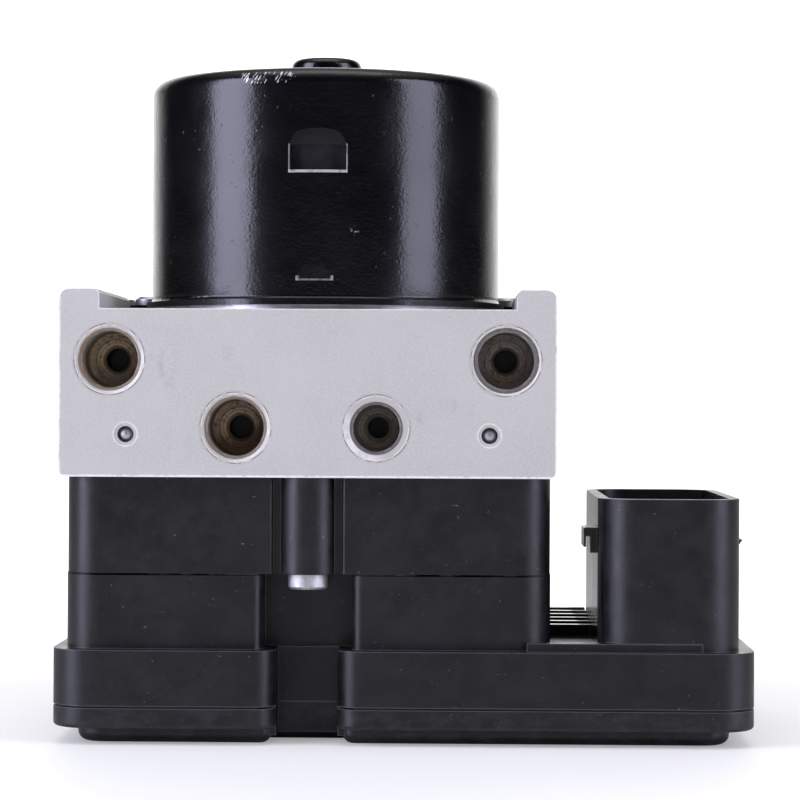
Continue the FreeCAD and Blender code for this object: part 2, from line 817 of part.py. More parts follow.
# Motor.
def motor_can():
    """The deep-drawn steel can with its bearing boss, lip, ears and pressed window."""
    inner = can_inner
    top = S.can_tall + S.boss_tall
    boss_top_r = S.boss_r - S.boss_draft
    boss_inner = S.bush_r + S.fit_gap
    body = turned("motor_can", [
        (inner, 0),
        (lip_r, 0),
        (lip_r, S.lip_tall),
        (can_r, S.lip_tall),
        (can_r, S.can_tall),
        (S.boss_r, S.can_tall),
        (boss_top_r, top),
        (0, top),
        (0, top - 1.4),
        (boss_inner - 1.6, top - 1.4),
        (boss_inner, top - 3.4),
        (boss_inner, S.can_tall - S.can_wall),
        (inner, S.can_tall - S.can_wall),
    ], (S.motor_x, 0, can_z))
    soften(body, S.can_round, lambda edge: ring_at(edge, can_r, S.can_tall))
    soften(body, S.can_round - S.can_wall, lambda edge: ring_at(edge, inner, S.can_tall - S.can_wall))
    soften(body, 0.8, lambda edge: ring_at(edge, can_r, S.lip_tall))
    soften(body, 1.2, lambda edge: ring_at(edge, S.boss_r, S.can_tall))
    soften(body, 1.8, lambda edge: ring_at(edge, boss_top_r, top))

    ears(body, 0, S.lip_tall)
    front = can_r + 1
    window = draw(body, "window", "XZ_Plane", (0, 0, front))
    rectangle(
        window,
        -S.window_wide / 2,
        S.window_wide / 2,
        S.window_up,
        S.window_up + S.window_tall,
    )
    opening = pocket(body, window, S.can_wall + 3)
    scoop = draw(body, "scoop", "XZ_Plane", (0, 0, front))
    side, foot = S.window_wide / 2, S.window_up + S.window_tall - 0.5
    crest = foot + S.scoop_tall + 0.5
    polygon(scoop, [
        (-side, foot),
        (side, foot),
        (side, foot + 1.0),
        (side * 0.78, crest - 0.8),
        (side * 0.35, crest),
        (-side * 0.35, crest),
        (-side * 0.78, crest - 0.8),
        (-side, foot + 1.0),
    ])
    pressed = pocket(body, scoop, 1 + 1.5)
    dent = draw(body, "dent", "XZ_Plane", (0, 0, front))
    side, middle = S.dent_wide / 2, S.dent_x
    polygon(dent, [
        (middle - side, S.dent_up),
        (middle + side, S.dent_up),
        (middle + side, S.dent_up + 0.9),
        (middle + side * 0.6, S.dent_up + S.dent_tall),
        (middle - side * 0.6, S.dent_up + S.dent_tall),
        (middle - side, S.dent_up + 0.9),
    ])
    indent = pocket(body, dent, 1 + S.dent_deep)
    mirror(body, [opening, pressed, indent], "XZ_Plane")
    return body


def ears(body, level, thick):
    """Two screw ears on a motor part, opposite each other, with their holes."""
    lugs = draw(body, f"{body.Label}_ears", "XY_Plane", (0, 0, level))
    tabs = draw(body, f"{body.Label}_tabs", "XY_Plane", (0, 0, level))
    holes = draw(body, f"{body.Label}_ear_holes", "XY_Plane", (0, 0, level))
    for sign in (-1, 1):
        circle(lugs, (sign * ear_x, S.ear_back), S.ear_r)
        circle(holes, (sign * ear_x, S.ear_back), S.motor_screw_r + 0.25)
        near_x, far_x = sorted((sign * (can_inner - 2), sign * ear_x), key=lambda item: item.value)
        rectangle(tabs, near_x, far_x, S.ear_back - S.ear_r, S.ear_back + S.ear_r)
    pad(body, lugs, thick)
    pad(body, tabs, thick)
    pocket(body, holes, as_term(thick) + 1, flip=True)
    core = draw(body, f"{body.Label}_clearing", "XY_Plane", (0, 0, level))
    circle(core, (0, 0), can_inner)
    pocket(body, core, as_term(thick), flip=True)


def motor_fixed_parts():
    """End plate, bearings, magnets, brushes and leads."""
    axis = (S.motor_x, 0)
    seat = S.bearing_r + 0.01
    collar_top = S.bearing_tall - S.register_deep
    plate = turned("motor_end_plate", [
        (seat, -S.register_deep),
        (S.collar_r, -S.register_deep),
        (S.collar_r, 0),
        (can_inner, 0),
        (can_inner, S.plate_thick),
        (S.collar_r, S.plate_thick),
        (S.collar_r, collar_top + 1.2),
        (S.bearing_r - 2.0, collar_top + 1.2),
        (S.bearing_r - 2.0, collar_top + 0.1),
        (seat, collar_top + 0.1),
    ], (*axis, step_z))
    rim = draw(plate, "plate_rim", "XY_Plane")
    circle(rim, (0, 0), plate_r)
    circle(rim, (0, 0), can_inner - 0.5)
    pad(plate, rim, S.plate_thick)
    plate_ears(plate)
    lead_hole = draw(plate, "plate_lead_hole", "XY_Plane")
    circle(lead_hole, (0, S.lead_bore_back), S.lead_bore_r)
    pocket(plate, lead_hole, S.plate_thick, flip=True)

    turned("motor_seal_ring", [
        (seal_r + 0.05, -S.seal_deep),
        (seal_r + S.seal_wide - 0.05, -S.seal_deep),
        (seal_r + S.seal_wide - 0.05, -0.02),
        (seal_r + 0.05, -0.02),
    ], (*axis, step_z))

    ball_track, ball_size = 7.5, 1.9
    outer_race = race(S.bearing_r, S.bearing_r - 2.2, ball_track, ball_size)
    inner_race = race(S.bearing_bore_r, S.bearing_bore_r + 2.1, ball_track, ball_size)
    turned("front_bearing_outer_ring", outer_race, (*axis, bearing_z))
    turned("front_bearing_inner_ring", inner_race, (*axis, bearing_z))
    balls = piece("front_bearing_balls", (*axis, bearing_z + S.bearing_tall / 2))
    half_ball = draw(balls, "half_ball", "XZ_Plane", (ball_track, 0, 0))
    reach = ball_size - 0.05
    polygon(half_ball, [
        (0, -reach),
        (reach * 0.7, -reach * 0.7),
        (reach, 0),
        (reach * 0.7, reach * 0.7),
        (0, reach),
    ])
    ball = revolve(balls, half_ball, "V_Axis")
    around(balls, [ball], 7)

    turned("rear_bush", [
        (S.journal_r + S.slide_gap, 0),
        (S.bush_r - 0.3, 0),
        (S.bush_r, 0.6),
        (S.bush_r, 3.6),
        (S.journal_r + S.slide_gap, 3.6),
    ], (*axis, can_z + S.can_tall - S.can_wall - 0.6))

    magnets = piece("motor_magnets", (*axis, step_z + S.core_up - 2))
    outer = can_inner - S.fit_gap
    ring = draw(magnets, "magnet_ring")
    circle(ring, (0, 0), outer)
    circle(ring, (0, 0), outer - S.magnet_thick)
    pad(magnets, ring, magnet_tall)
    gaps = draw(magnets, "magnet_gaps")
    rectangle(gaps, -outer - 1, outer + 1, -S.window_wide * 0.9, S.window_wide * 0.9)
    pocket(magnets, gaps, magnet_tall, flip=True)

    card = piece("brush_card", (*axis, can_z))
    disc = draw(card, "card_disc", "XY_Plane", (0, 0, 0.1))
    circle(disc, (0, 0), outer)
    circle(disc, (0, 0), S.collar_r + S.fit_gap)
    pad(card, disc, S.card_thick)
    box_from, box_to = S.collar_r + S.part_gap, can_inner - 4
    high = can_z * 0 + S.commutator_up + 1 + S.brush_tall
    walls = draw(card, "brush_boxes", "XY_Plane", (0, 0, 0.1 + S.card_thick))
    rails = draw(card, "brush_ways", "XY_Plane", (0, 0, S.commutator_up + 0.9 - S.plate_thick))
    for sign in (-1, 1):
        near_x, far_x = sorted((sign * box_from, sign * box_to), key=lambda item: item.value)
        rectangle(walls, near_x, far_x, -S.brush_wide / 2 - 1.2, S.brush_wide / 2 + 1.2)
        near_x, far_x = sorted((sign * (box_from - 0.1), sign * (box_to - 1.2)), key=lambda item: item.value)
        rectangle(rails, near_x, far_x, -S.brush_wide / 2 - S.fit_gap, S.brush_wide / 2 + S.fit_gap)
    pad(card, walls, high + 1.4 - S.card_thick - S.plate_thick)
    pocket(card, rails, S.brush_tall + 0.2, flip=True)
    lead_gap = draw(card, "card_lead_hole", "XY_Plane")
    for sign in (-1, 1):
        circle(lead_gap, (sign * S.lead_apart / 2, S.lead_bore_back), S.lead_r)
    pocket(card, lead_gap, S.card_thick + 1, flip=True)

    brushes = piece("brushes", (*axis, step_z + S.commutator_up + 1))
    blocks = draw(brushes, "brush_blocks")
    springs = []
    tip = S.commutator_r + S.fit_gap
    for sign in (-1, 1):
        near_x, far_x = sorted((sign * tip, sign * (tip + S.brush_long)), key=lambda item: item.value)
        rectangle(blocks, near_x, far_x, -S.brush_wide / 2, S.brush_wide / 2)
    pad(brushes, blocks, S.brush_tall)
    spring_from = tip + S.brush_long
    for side, sign in (("left", -1), ("right", 1)):
        springs.append(coil_spring(
            f"brush_spring_{side}",
            (S.motor_x + sign * spring_from, 0, step_z + S.commutator_up + 1 + S.brush_tall / 2),
            1.8,
            box_to - 1.2 - spring_from,
            wire=0.3,
            turns=3,
            turn=((0, 1, 0), 90 * sign),
        ))

    lead_long = can_z + S.card_thick + 6 - (board_z + 0.2)
    leads = turned("motor_leads", [
        (0, 0),
        (S.lead_r, 0),
        (S.lead_r, lead_long),
        (0, lead_long),
    ], (S.motor_x - S.lead_apart / 2, S.lead_bore_back, board_z + 0.2))
    repeat(leads, [leads.Tip], "X_Axis", S.lead_apart, 2)
    guide = turned("motor_lead_guide", [
        (0, 0),
        (S.lead_bore_r - 0.02, 0),
        (S.lead_bore_r - 0.02, S.block_tall + S.plate_thick),
        (0, S.block_tall + S.plate_thick),
    ], (S.motor_x, S.lead_bore_back, block_z))
    ways = draw(guide, "lead_ways")
    for sign in (-1, 1):
        circle(ways, (sign * S.lead_apart / 2, 0), S.lead_r + 0.01)
    pocket(guide, ways, S.block_tall + S.plate_thick, flip=True)

    screws = turned("motor_screws", [
        (0, -S.motor_screw_deep - S.plate_thick + 1),
        (S.motor_screw_r, -S.motor_screw_deep - S.plate_thick + 1),
        (S.motor_screw_r, S.lip_tall),
        (3.6, S.lip_tall),
        (3.6, S.lip_tall + 1.4),
        (2.9, S.lip_tall + 2.0),
        (1.6, S.lip_tall + 2.0),
        (1.6, S.lip_tall + 0.8),
        (0, S.lip_tall + 0.8),
    ], (S.motor_x - ear_x, S.ear_back, can_z))
    repeat(screws, [screws.Tip], "X_Axis", 2 * ear_x, 2)


def plate_ears(plate):
    """The end plate's two ears, under the can's own."""
    lugs = draw(plate, "plate_ears", "XY_Plane")
    tabs = draw(plate, "plate_tabs", "XY_Plane")
    holes = draw(plate, "plate_ear_holes", "XY_Plane")
    for sign in (-1, 1):
        circle(lugs, (sign * ear_x, S.ear_back), S.ear_r)
        circle(holes, (sign * ear_x, S.ear_back), S.motor_screw_r + 0.25)
        near_x, far_x = sorted((sign * (plate_r - 6), sign * ear_x), key=lambda item: item.value)
        rectangle(tabs, near_x, far_x, S.ear_back - S.ear_r, S.ear_back + S.ear_r)
    pad(plate, lugs, S.plate_thick)
    pad(plate, tabs, S.plate_thick)
    pocket(plate, holes, S.plate_thick + 1, flip=True)


def race(wall, land, track, ball):
    """Profile of a bearing ring: a wall, a land and a groove for the balls."""
    toward = 1 if as_term(land).value > as_term(wall).value else -1
    middle = S.bearing_tall / 2
    depth = track - toward * ball
    return [
        (wall, 0),
        (land, 0),
        (land, middle - ball * 0.84),
        (as_term(depth), middle - ball * 0.32),
        (as_term(depth), middle + ball * 0.32),
        (land, middle + ball * 0.84),
        (land, S.bearing_tall),
        (wall, S.bearing_tall),
    ]


def armature():
    """Everything that turns: shaft, core, windings, commutator and eccentric bearing."""
    axis = (S.motor_x, 0)
    nose, rear = S.bearing_bore_r - 0.01, S.journal_r
    cam_low = -S.pump_down - S.cam_tall / 2
    rear_z = S.plate_thick + S.can_tall - S.can_wall - 1.6
    tip_z = S.plate_thick + S.can_tall + 1.6
    shaft = turned("armature_shaft", [
        (0, cam_low),
        (nose, cam_low),
        (nose, -S.register_deep + S.bearing_tall),
        (S.shaft_r + 0.6, -S.register_deep + S.bearing_tall),
        (S.shaft_r + 0.6, -S.register_deep + S.bearing_tall + 1.2),
        (S.shaft_r, -S.register_deep + S.bearing_tall + 1.2),
        (S.shaft_r, rear_z),
        (rear, rear_z),
        (rear, tip_z),
        (0, tip_z),
    ], (*axis, step_z))
    cam = draw(shaft, "cam", "XY_Plane", (0, 0, cam_low))
    circle(cam, (0, S.cam_throw), S.cam_r)
    pad(shaft, cam, S.cam_tall)

    ring = piece("eccentric_bearing", (*axis, step_z + cam_low))
    rings = draw(ring, "cam_rings")
    roller_r = 0.5
    inside, outside = S.cam_r + 0.7, S.cam_ring_r - 0.7
    circle(rings, (0, S.cam_throw), S.cam_r + 0.01)
    circle(rings, (0, S.cam_throw), inside)
    circle(rings, (0, S.cam_throw), outside)
    circle(rings, (0, S.cam_throw), S.cam_ring_r)
    pad(ring, rings, S.cam_tall)
    needles = draw(ring, "needles", "XY_Plane", (0, 0, 0.5))
    turns = range(12)
    for step in turns:
        angle = math.tau * step / len(turns)
        spread = (inside + outside) / 2
        circle(needles, (spread * math.cos(angle), S.cam_throw + spread * math.sin(angle)), roller_r - 0.02)
    pad(ring, needles, S.cam_tall - 1)

    core = piece("armature_core", (*axis, step_z + S.core_up))
    disc = draw(core, "core_disc")
    circle(disc, (0, 0), core_r)
    circle(disc, (0, 0), S.shaft_r + 0.01)
    pad(core, disc, core_tall)
    slot = draw(core, "core_slot")
    tip = core_r - S.tooth_tip
    polygon(slot, [
        (S.slot_root_r, -S.slot_wide / 4),
        (tip - 1, -S.slot_wide / 2),
        (tip, -S.slot_mouth / 2),
        (core_r + 1, -S.slot_mouth / 2),
        (core_r + 1, S.slot_mouth / 2),
        (tip, S.slot_mouth / 2),
        (tip - 1, S.slot_wide / 2),
        (S.slot_root_r, S.slot_wide / 4),
    ])
    cut = pocket(core, slot, core_tall, flip=True)
    around(core, [cut], int(S.slots.value))

    windings = piece("armature_windings", (*axis, step_z + S.core_up - S.turn_tall))
    bar = draw(windings, "slot_bar", "XY_Plane", (0, 0, 1))
    slack = 0.12
    polygon(bar, [
        (S.slot_root_r + slack, -S.slot_wide / 4 + slack),
        (tip - 1 - slack, -S.slot_wide / 2 + slack),
        (tip - slack, -S.slot_mouth / 2),
        (tip - slack, S.slot_mouth / 2),
        (tip - 1 - slack, S.slot_wide / 2 - slack),
        (S.slot_root_r + slack, S.slot_wide / 4 - slack),
    ])
    filled = pad(windings, bar, core_tall + 2 * S.turn_tall - 2)
    around(windings, [filled], int(S.slots.value))
    for level in (0, S.turn_tall + core_tall + 0.05):
        head = draw(windings, f"end_turns_{as_term(level).value:.0f}", "XY_Plane", (0, 0, level))
        circle(head, (0, 0), tip - 0.6)
        circle(head, (0, 0), S.slot_root_r - 2.5)
        pad(windings, head, S.turn_tall - 0.05)
    soften(windings, 0.8, lambda edge: ring_at(edge, tip - 0.6, 0))

    commutator = turned("commutator", [
        (S.shaft_r + 0.01, 0),
        (S.commutator_r, 0),
        (S.commutator_r, S.commutator_tall - 1.8),
        (S.commutator_r + 1.0, S.commutator_tall - 1.8),
        (S.commutator_r + 1.0, S.commutator_tall),
        (S.shaft_r + 0.01, S.commutator_tall),
    ], (*axis, step_z + S.commutator_up))
    groove = draw(commutator, "segment_gap")
    rectangle(groove, S.commutator_r - 0.8, S.commutator_r + 1.5, -0.2, 0.2)
    gap = pocket(commutator, groove, S.commutator_tall, flip=True)
    around(commutator, [gap], int(S.slots.value))


# Control unit.
def flange_outline(sketch, inset=0.0):
    """The outline that the flange and the cover share, inset all round."""
    rectangle(
        sketch,
        -flange_left + inset,
        flange_right - inset,
        flange_front + inset,
        -flange_front - inset,
    )


def inner_outline(sketch, inset, fillet):
    """The same outline for inner walls, its corners cut so that they stay behind rounded ones."""
    left, right, deep = inset - flange_left, flange_right - inset, -flange_front - inset
    cut = fillet * 0.586
    polygon(sketch, [
        (left + cut, -deep),
        (right - cut, -deep),
        (right, cut - deep),
        (right, deep - cut),
        (right - cut, deep),
        (left + cut, deep),
        (left, deep - cut),
        (left, cut - deep),
    ])


def notches(sketch, deeper, wide, back=None):
    """Rectangles that reach in from the front and the back at the middle screws."""
    back = notch_back if back is None else back
    for sign in (-1, 1):
        low, high = sorted((sign * (flange_front - deeper), sign * back), key=lambda item: item.value)
        rectangle(sketch, -wide / 2, wide / 2, low, high)


def round_notches(body, wide, fillet, level=None):
    """Round the mouth corners of the front and back notches."""
    def chosen(edge):
        if not upright(edge):
            return False
        spot = ends(edge)[0]
        return near(abs(spot.x), wide / 2) and abs(spot.y) > abs(notch_back.value) + 1
    soften(body, fillet, chosen)


def round_corners(body, left, right, deep, fillet):
    """Round the four upright corners of a rectangular body."""
    def chosen(edge):
        if not upright(edge):
            return False
        spot = ends(edge)[0]
        return near(spot.x, -as_term(left), right) and near(abs(spot.y), deep)
    soften(body, fillet, chosen)


def upper_housing():
    """The coil carrier: a box open upwards, with screw pillars."""
    body = piece("coil_housing", (0, 0, upper_z))
    half, deep, wall = S.upper_wide / 2, S.upper_deep / 2, S.housing_wall
    shell = draw(body, "upper_outline")
    rectangle(shell, -half, half, -deep, deep)
    pad(body, shell, S.upper_tall)
    round_corners(body, half, half, deep, S.body_round)
    hollow = draw(body, "upper_hollow", "XY_Plane", (0, 0, S.floor_thick))
    rectangle(hollow, wall - half, half - wall, wall - deep, deep - wall)
    pocket(body, hollow, S.upper_tall, flip=True)
    grooves = draw(body, "pillar_grooves")
    reach = S.pillar_r + S.groove_room
    for sign in (-1, 1):
        low, high = sorted((sign * (deep - S.groove_deep), sign * (deep + 1)), key=lambda item: item.value)
        rectangle(grooves, -reach, reach, low, high)
    pocket(body, grooves, S.upper_tall, flip=True)

    def groove_edge(edge):
        if not upright(edge):
            return False
        spot = ends(edge)[0]
        return near(abs(spot.x), reach) and near(abs(spot.y), deep)
    soften(body, S.groove_round, groove_edge)
    pillars = draw(body, "upper_pillars")
    for spot in screw_places():
        side = near(as_term(spot[0]).value, side_screw_x, -side_screw_x)
        circle(pillars, spot, S.screw_r + 1.8 if side else S.pillar_r)
    pad(body, pillars, S.upper_tall)
    holes = draw(body, "upper_screw_holes")
    for spot in screw_places():
        circle(holes, spot, S.screw_r + 0.2)
    pocket(body, holes, S.upper_tall, flip=True)
    lead_way = draw(body, "upper_lead_way")
    circle(lead_way, (S.motor_x, S.lead_bore_back), S.lead_bore_r)
    pocket(body, lead_way, S.upper_tall, flip=True)


def lower_housing():
    """The board housing: lower body, flange and plug socket in one moulding, open underneath."""
    body = piece("board_housing")
    half, deep, wall = S.lower_wide / 2, S.lower_deep / 2, S.housing_wall
    flange = draw(body, "flange_outline", "XY_Plane", (0, 0, flange_z))
    flange_outline(flange)
    pad(body, flange, S.flange_tall)
    round_corners(body, flange_left, flange_right, -flange_front, S.flange_round)
    lower = draw(body, "lower_outline", "XY_Plane", (0, 0, lower_z))
    rectangle(lower, -half, half, -deep, deep)
    pad(body, lower, S.lower_tall)
    round_corners(body, half, half, deep, S.body_round)
    socket = draw(body, "plug_outline", "XY_Plane", (0, 0, lower_z))
    plug_back = S.plug_deep - S.plug_front
    rectangle(socket, plug_left, plug_right, -S.plug_front, plug_back)
    pad(body, socket, S.plug_tall)

    def plug_corner(edge):
        if not upright(edge):
            return False
        spot = ends(edge)[0]
        return near(spot.x, plug_left, plug_right) and near(spot.y, -S.plug_front, plug_back)

    chamber = draw(body, "board_chamber", "XY_Plane", (0, 0, flange_z))
    inner_outline(chamber, wall, S.flange_round - wall)
    pocket(body, chamber, S.flange_tall - wall, flip=True)
    room = draw(body, "coil_side_room", "XY_Plane", (0, 0, lower_z - wall))
    rectangle(room, wall - half, half - wall, wall - deep, deep - wall)
    pocket(body, room, S.lower_tall + wall, flip=True)

    bays = draw(body, "bay_walls", "XY_Plane", (0, 0, lower_z))
    notches(bays, deep + flange_front, S.bay_wide + 2 * wall, bay_back + wall)
    pad(body, bays, S.lower_tall)
    linings = draw(body, "notch_walls", "XY_Plane", (0, 0, flange_z))
    notches(linings, -1, S.notch_wide + 2 * wall, notch_back + wall)
    pad(body, linings, S.flange_tall)
    wells = draw(body, "well_walls", "XY_Plane", (0, 0, flange_z))
    for side in (-1, 1):
        circle(wells, (side * side_screw_x, S.side_screw_y), S.well_r + S.well_wall)
    pad(body, wells, S.flange_tall + S.lower_tall)
    webs = draw(body, "well_webs", "XY_Plane", (0, 0, lower_z - wall))
    reach = S.well_r + S.well_wall
    for side in (-1, 1):
        near_x, far_x = sorted((side * side_screw_x, side * (half - wall / 2)), key=lambda item: item.value)
        rectangle(webs, near_x, far_x, S.side_screw_y - reach, S.side_screw_y + reach)
    pad(body, webs, S.lower_tall + wall)
    cuts = draw(body, "bay_cuts", "XY_Plane", (0, 0, lower_z))
    notches(cuts, 1, S.bay_wide, bay_back)
    pocket(body, cuts, S.lower_tall, flip=True)
    cuts = draw(body, "notch_cuts", "XY_Plane", (0, 0, flange_z))
    notches(cuts, 1, S.notch_wide)
    pocket(body, cuts, S.flange_tall, flip=True)
    bores = draw(body, "well_bores", "XY_Plane", (0, 0, flange_z))
    for side in (-1, 1):
        circle(bores, (side * side_screw_x, S.side_screw_y), S.well_r)
    pocket(body, bores, S.flange_tall + S.lower_tall, flip=True)
    round_notches(body, S.notch_wide, S.notch_round)
    round_notches(body, S.bay_wide, S.bay_round)

    mouth = draw(body, "plug_mouth", "XY_Plane", (0, 0, lower_z + S.plug_floor))
    inset = S.plug_wall
    rectangle(mouth, plug_left + inset, plug_right - inset, inset - S.plug_front, plug_back - inset)
    pocket(body, mouth, S.plug_tall, flip=True)

    def mouth_corner(edge):
        if not upright(edge):
            return False
        spot = ends(edge)[0]
        across = near(spot.x, plug_left + inset, plug_right - inset)
        return across and near(spot.y, inset - S.plug_front, plug_back - inset)
    soften(body, S.plug_round - inset, mouth_corner)
    soften(body, S.plug_round, plug_corner)

    ledge = draw(body, "plinth", "XZ_Plane", (0, 0, S.plug_front + S.plinth_out))
    ledge_end = plug_left + S.plinth_lap
    polygon(ledge, [
        (half - S.body_round * 0.7, lower_z),
        (ledge_end, lower_z),
        (ledge_end, lower_z + S.plinth_tall),
        (half - S.body_round * 0.7, lower_z + S.plinth_tall),
    ])
    pad(body, ledge, S.plinth_deep, flip=True)
    rib = draw(body, "gap_rib", "XY_Plane", (0, 0, lower_z))
    rectangle(rib, half - 1, plug_left + 1, S.rib_from, S.rib_from + S.rib_thick)
    ribs = pad(body, rib, S.rib_tall)
    repeat(body, [ribs], "Y_Axis", S.rib_pitch, int(S.ribs.value))

    peg = draw(body, "lever_peg", "XZ_Plane", (0, 0, S.plug_front - S.peg_back))
    low, tip = lower_z + S.peg_up, plug_left - S.peg_out
    polygon(peg, [
        (plug_left + 0.5, low),
        (tip + 1.3, low),
        (tip + 1.3, low + 3.4),
        (tip + 0.5, low + 3.4),
        (tip + 0.5, low + 1.2),
        (tip, low + 1.2),
        (tip, low + 5.2),
        (plug_left + 0.5, low + 5.2),
    ])
    pad(body, peg, S.peg_long, flip=True)
    catch = draw(body, "lever_catch", "XZ_Plane", (0, 0, S.plug_front - S.catch_back))
    low = lower_z + S.catch_up
    polygon(catch, [
        (plug_right - 0.5, low),
        (plug_right + 0.6, low),
        (plug_right + S.catch_out, low + 3.4),
        (plug_right - 0.5, low + 3.4),
    ])
    pad(body, catch, S.peg_long + 2, flip=True)

    posts = draw(body, "board_posts", "XY_Plane", (0, 0, board_z + S.board_thick))
    for spot in post_places():
        circle(posts, spot, S.post_r)
    pad(body, posts, lower_z - wall - (board_z + S.board_thick) + 0.5)

    slots = draw(body, "pin_slots", "XY_Plane", (0, 0, lower_z - wall))
    pin_column(slots, 0.02)
    slot = pocket(body, slots, wall + S.plug_floor, flip=True)
    repeat(body, [slot], "X_Axis", S.pin_pitch_x, int(S.pin_columns.value))
    return body


def pin_column(sketch, gap):
    """Sections of the first column of contact pins, each gap larger all round."""
    middle_x = (plug_left + plug_right) / 2
    middle_y = S.plug_deep / 2 - S.plug_front
    left = middle_x - S.pin_pitch_x * (S.pin_columns - 1) / 2 - S.pin_wide / 2
    rows = int(S.pin_rows.value)
    for row in range(rows):
        front = middle_y + S.pin_pitch_y * (row - (rows - 1) / 2) - S.pin_wide / 2
        rectangle(sketch, left - gap, left + S.pin_wide + gap, front - gap, front + S.pin_wide + gap)


def post_places():
    """Where the board is held to the housing's deck, clear of the lower body's room."""
    right = flange_right - S.housing_wall - 5
    left = S.lower_wide / 2 + 4
    back = -flange_front - S.housing_wall - 5
    return [(right, back), (left, back), (right, back - 16), (left, back - 16)]


def cover():
    """The cover: a rim plate, a locating land and an inset pan."""
    body = piece("board_cover")
    plate = draw(body, "rim_outline", "XY_Plane", (0, 0, rim_z))
    flange_outline(plate)
    pad(body, plate, S.rim_tall)
    round_corners(body, flange_left, flange_right, -flange_front, S.flange_round)
    notch = draw(body, "rim_notches", "XY_Plane", (0, 0, rim_z))
    notches(notch, 1, S.notch_wide)
    pocket(body, notch, S.rim_tall, flip=True)
    round_notches(body, S.notch_wide, S.notch_round)
    pan = draw(body, "pan_outline")
    flange_outline(pan, S.pan_inset)
    pad(body, pan, S.pan_tall)
    round_corners(
        body,
        flange_left - S.pan_inset,
        flange_right - S.pan_inset,
        -flange_front - S.pan_inset,
        S.pan_corner,
    )
    notch = draw(body, "pan_notches", "XY_Plane")
    notches(notch, 1, S.notch_wide + 2, notch_back + 1)
    pocket(body, notch, S.pan_tall, flip=True)
    round_notches(body, S.notch_wide + 2, S.notch_round / 2)
    soften(body, S.pan_round, lambda edge: flat_at(edge, 0))
    soften(body, S.rim_round, lambda edge: flat_at(edge, rim_z) and outer_rim(edge))

    land = draw(body, "land", "XY_Plane", (0, 0, seam_z))
    inner_outline(land, S.housing_wall / 2, S.flange_round - S.housing_wall / 2)
    pad(body, land, S.seam_tall)
    relief = draw(body, "land_relief", "XY_Plane", (0, 0, seam_z))
    notches(relief, 1, S.notch_wide + 7, flange_front + 3.5)
    pocket(body, relief, S.seam_tall, flip=True)
    hollow = draw(body, "cover_hollow", "XY_Plane", (0, 0, S.cover_floor))
    inner_outline(hollow, S.pan_inset + S.cover_floor, S.pan_corner - S.cover_floor)
    pocket(body, hollow, flange_z, flip=True)
    walls = draw(body, "cover_notch_walls", "XY_Plane", (0, 0, S.cover_floor))
    notches(walls, -S.pan_inset - 1, S.notch_wide + 2 * S.housing_wall + 2, notch_back + S.housing_wall)
    pad(body, walls, flange_z - S.cover_floor)
    wells = draw(body, "cover_wells", "XY_Plane", (0, 0, S.cover_floor))
    for side in (-1, 1):
        circle(wells, (side * side_screw_x, S.side_screw_y), S.well_r + S.well_wall)
    pad(body, wells, flange_z - S.cover_floor)
    notch = draw(body, "cover_notches", "XY_Plane")
    notches(notch, 1, S.notch_wide)
    bores = draw(body, "cover_well_bores", "XY_Plane")
    for side in (-1, 1):
        circle(bores, (side * side_screw_x, S.side_screw_y), S.well_r)
    pocket(body, notch, flange_z, flip=True)
    pocket(body, bores, flange_z, flip=True)
    return body


def outer_rim(edge):
    """Whether an edge of the cover lies on the rim's outside, not where the pan joins it."""
    box = edge.BoundBox
    inside = S.pan_inset.value - 1
    outside_x = box.XMin < inside - flange_left.value or box.XMax > flange_right.value - inside
    outside_y = max(abs(box.YMin), abs(box.YMax)) > -flange_front.value - inside
    return outside_x or outside_y


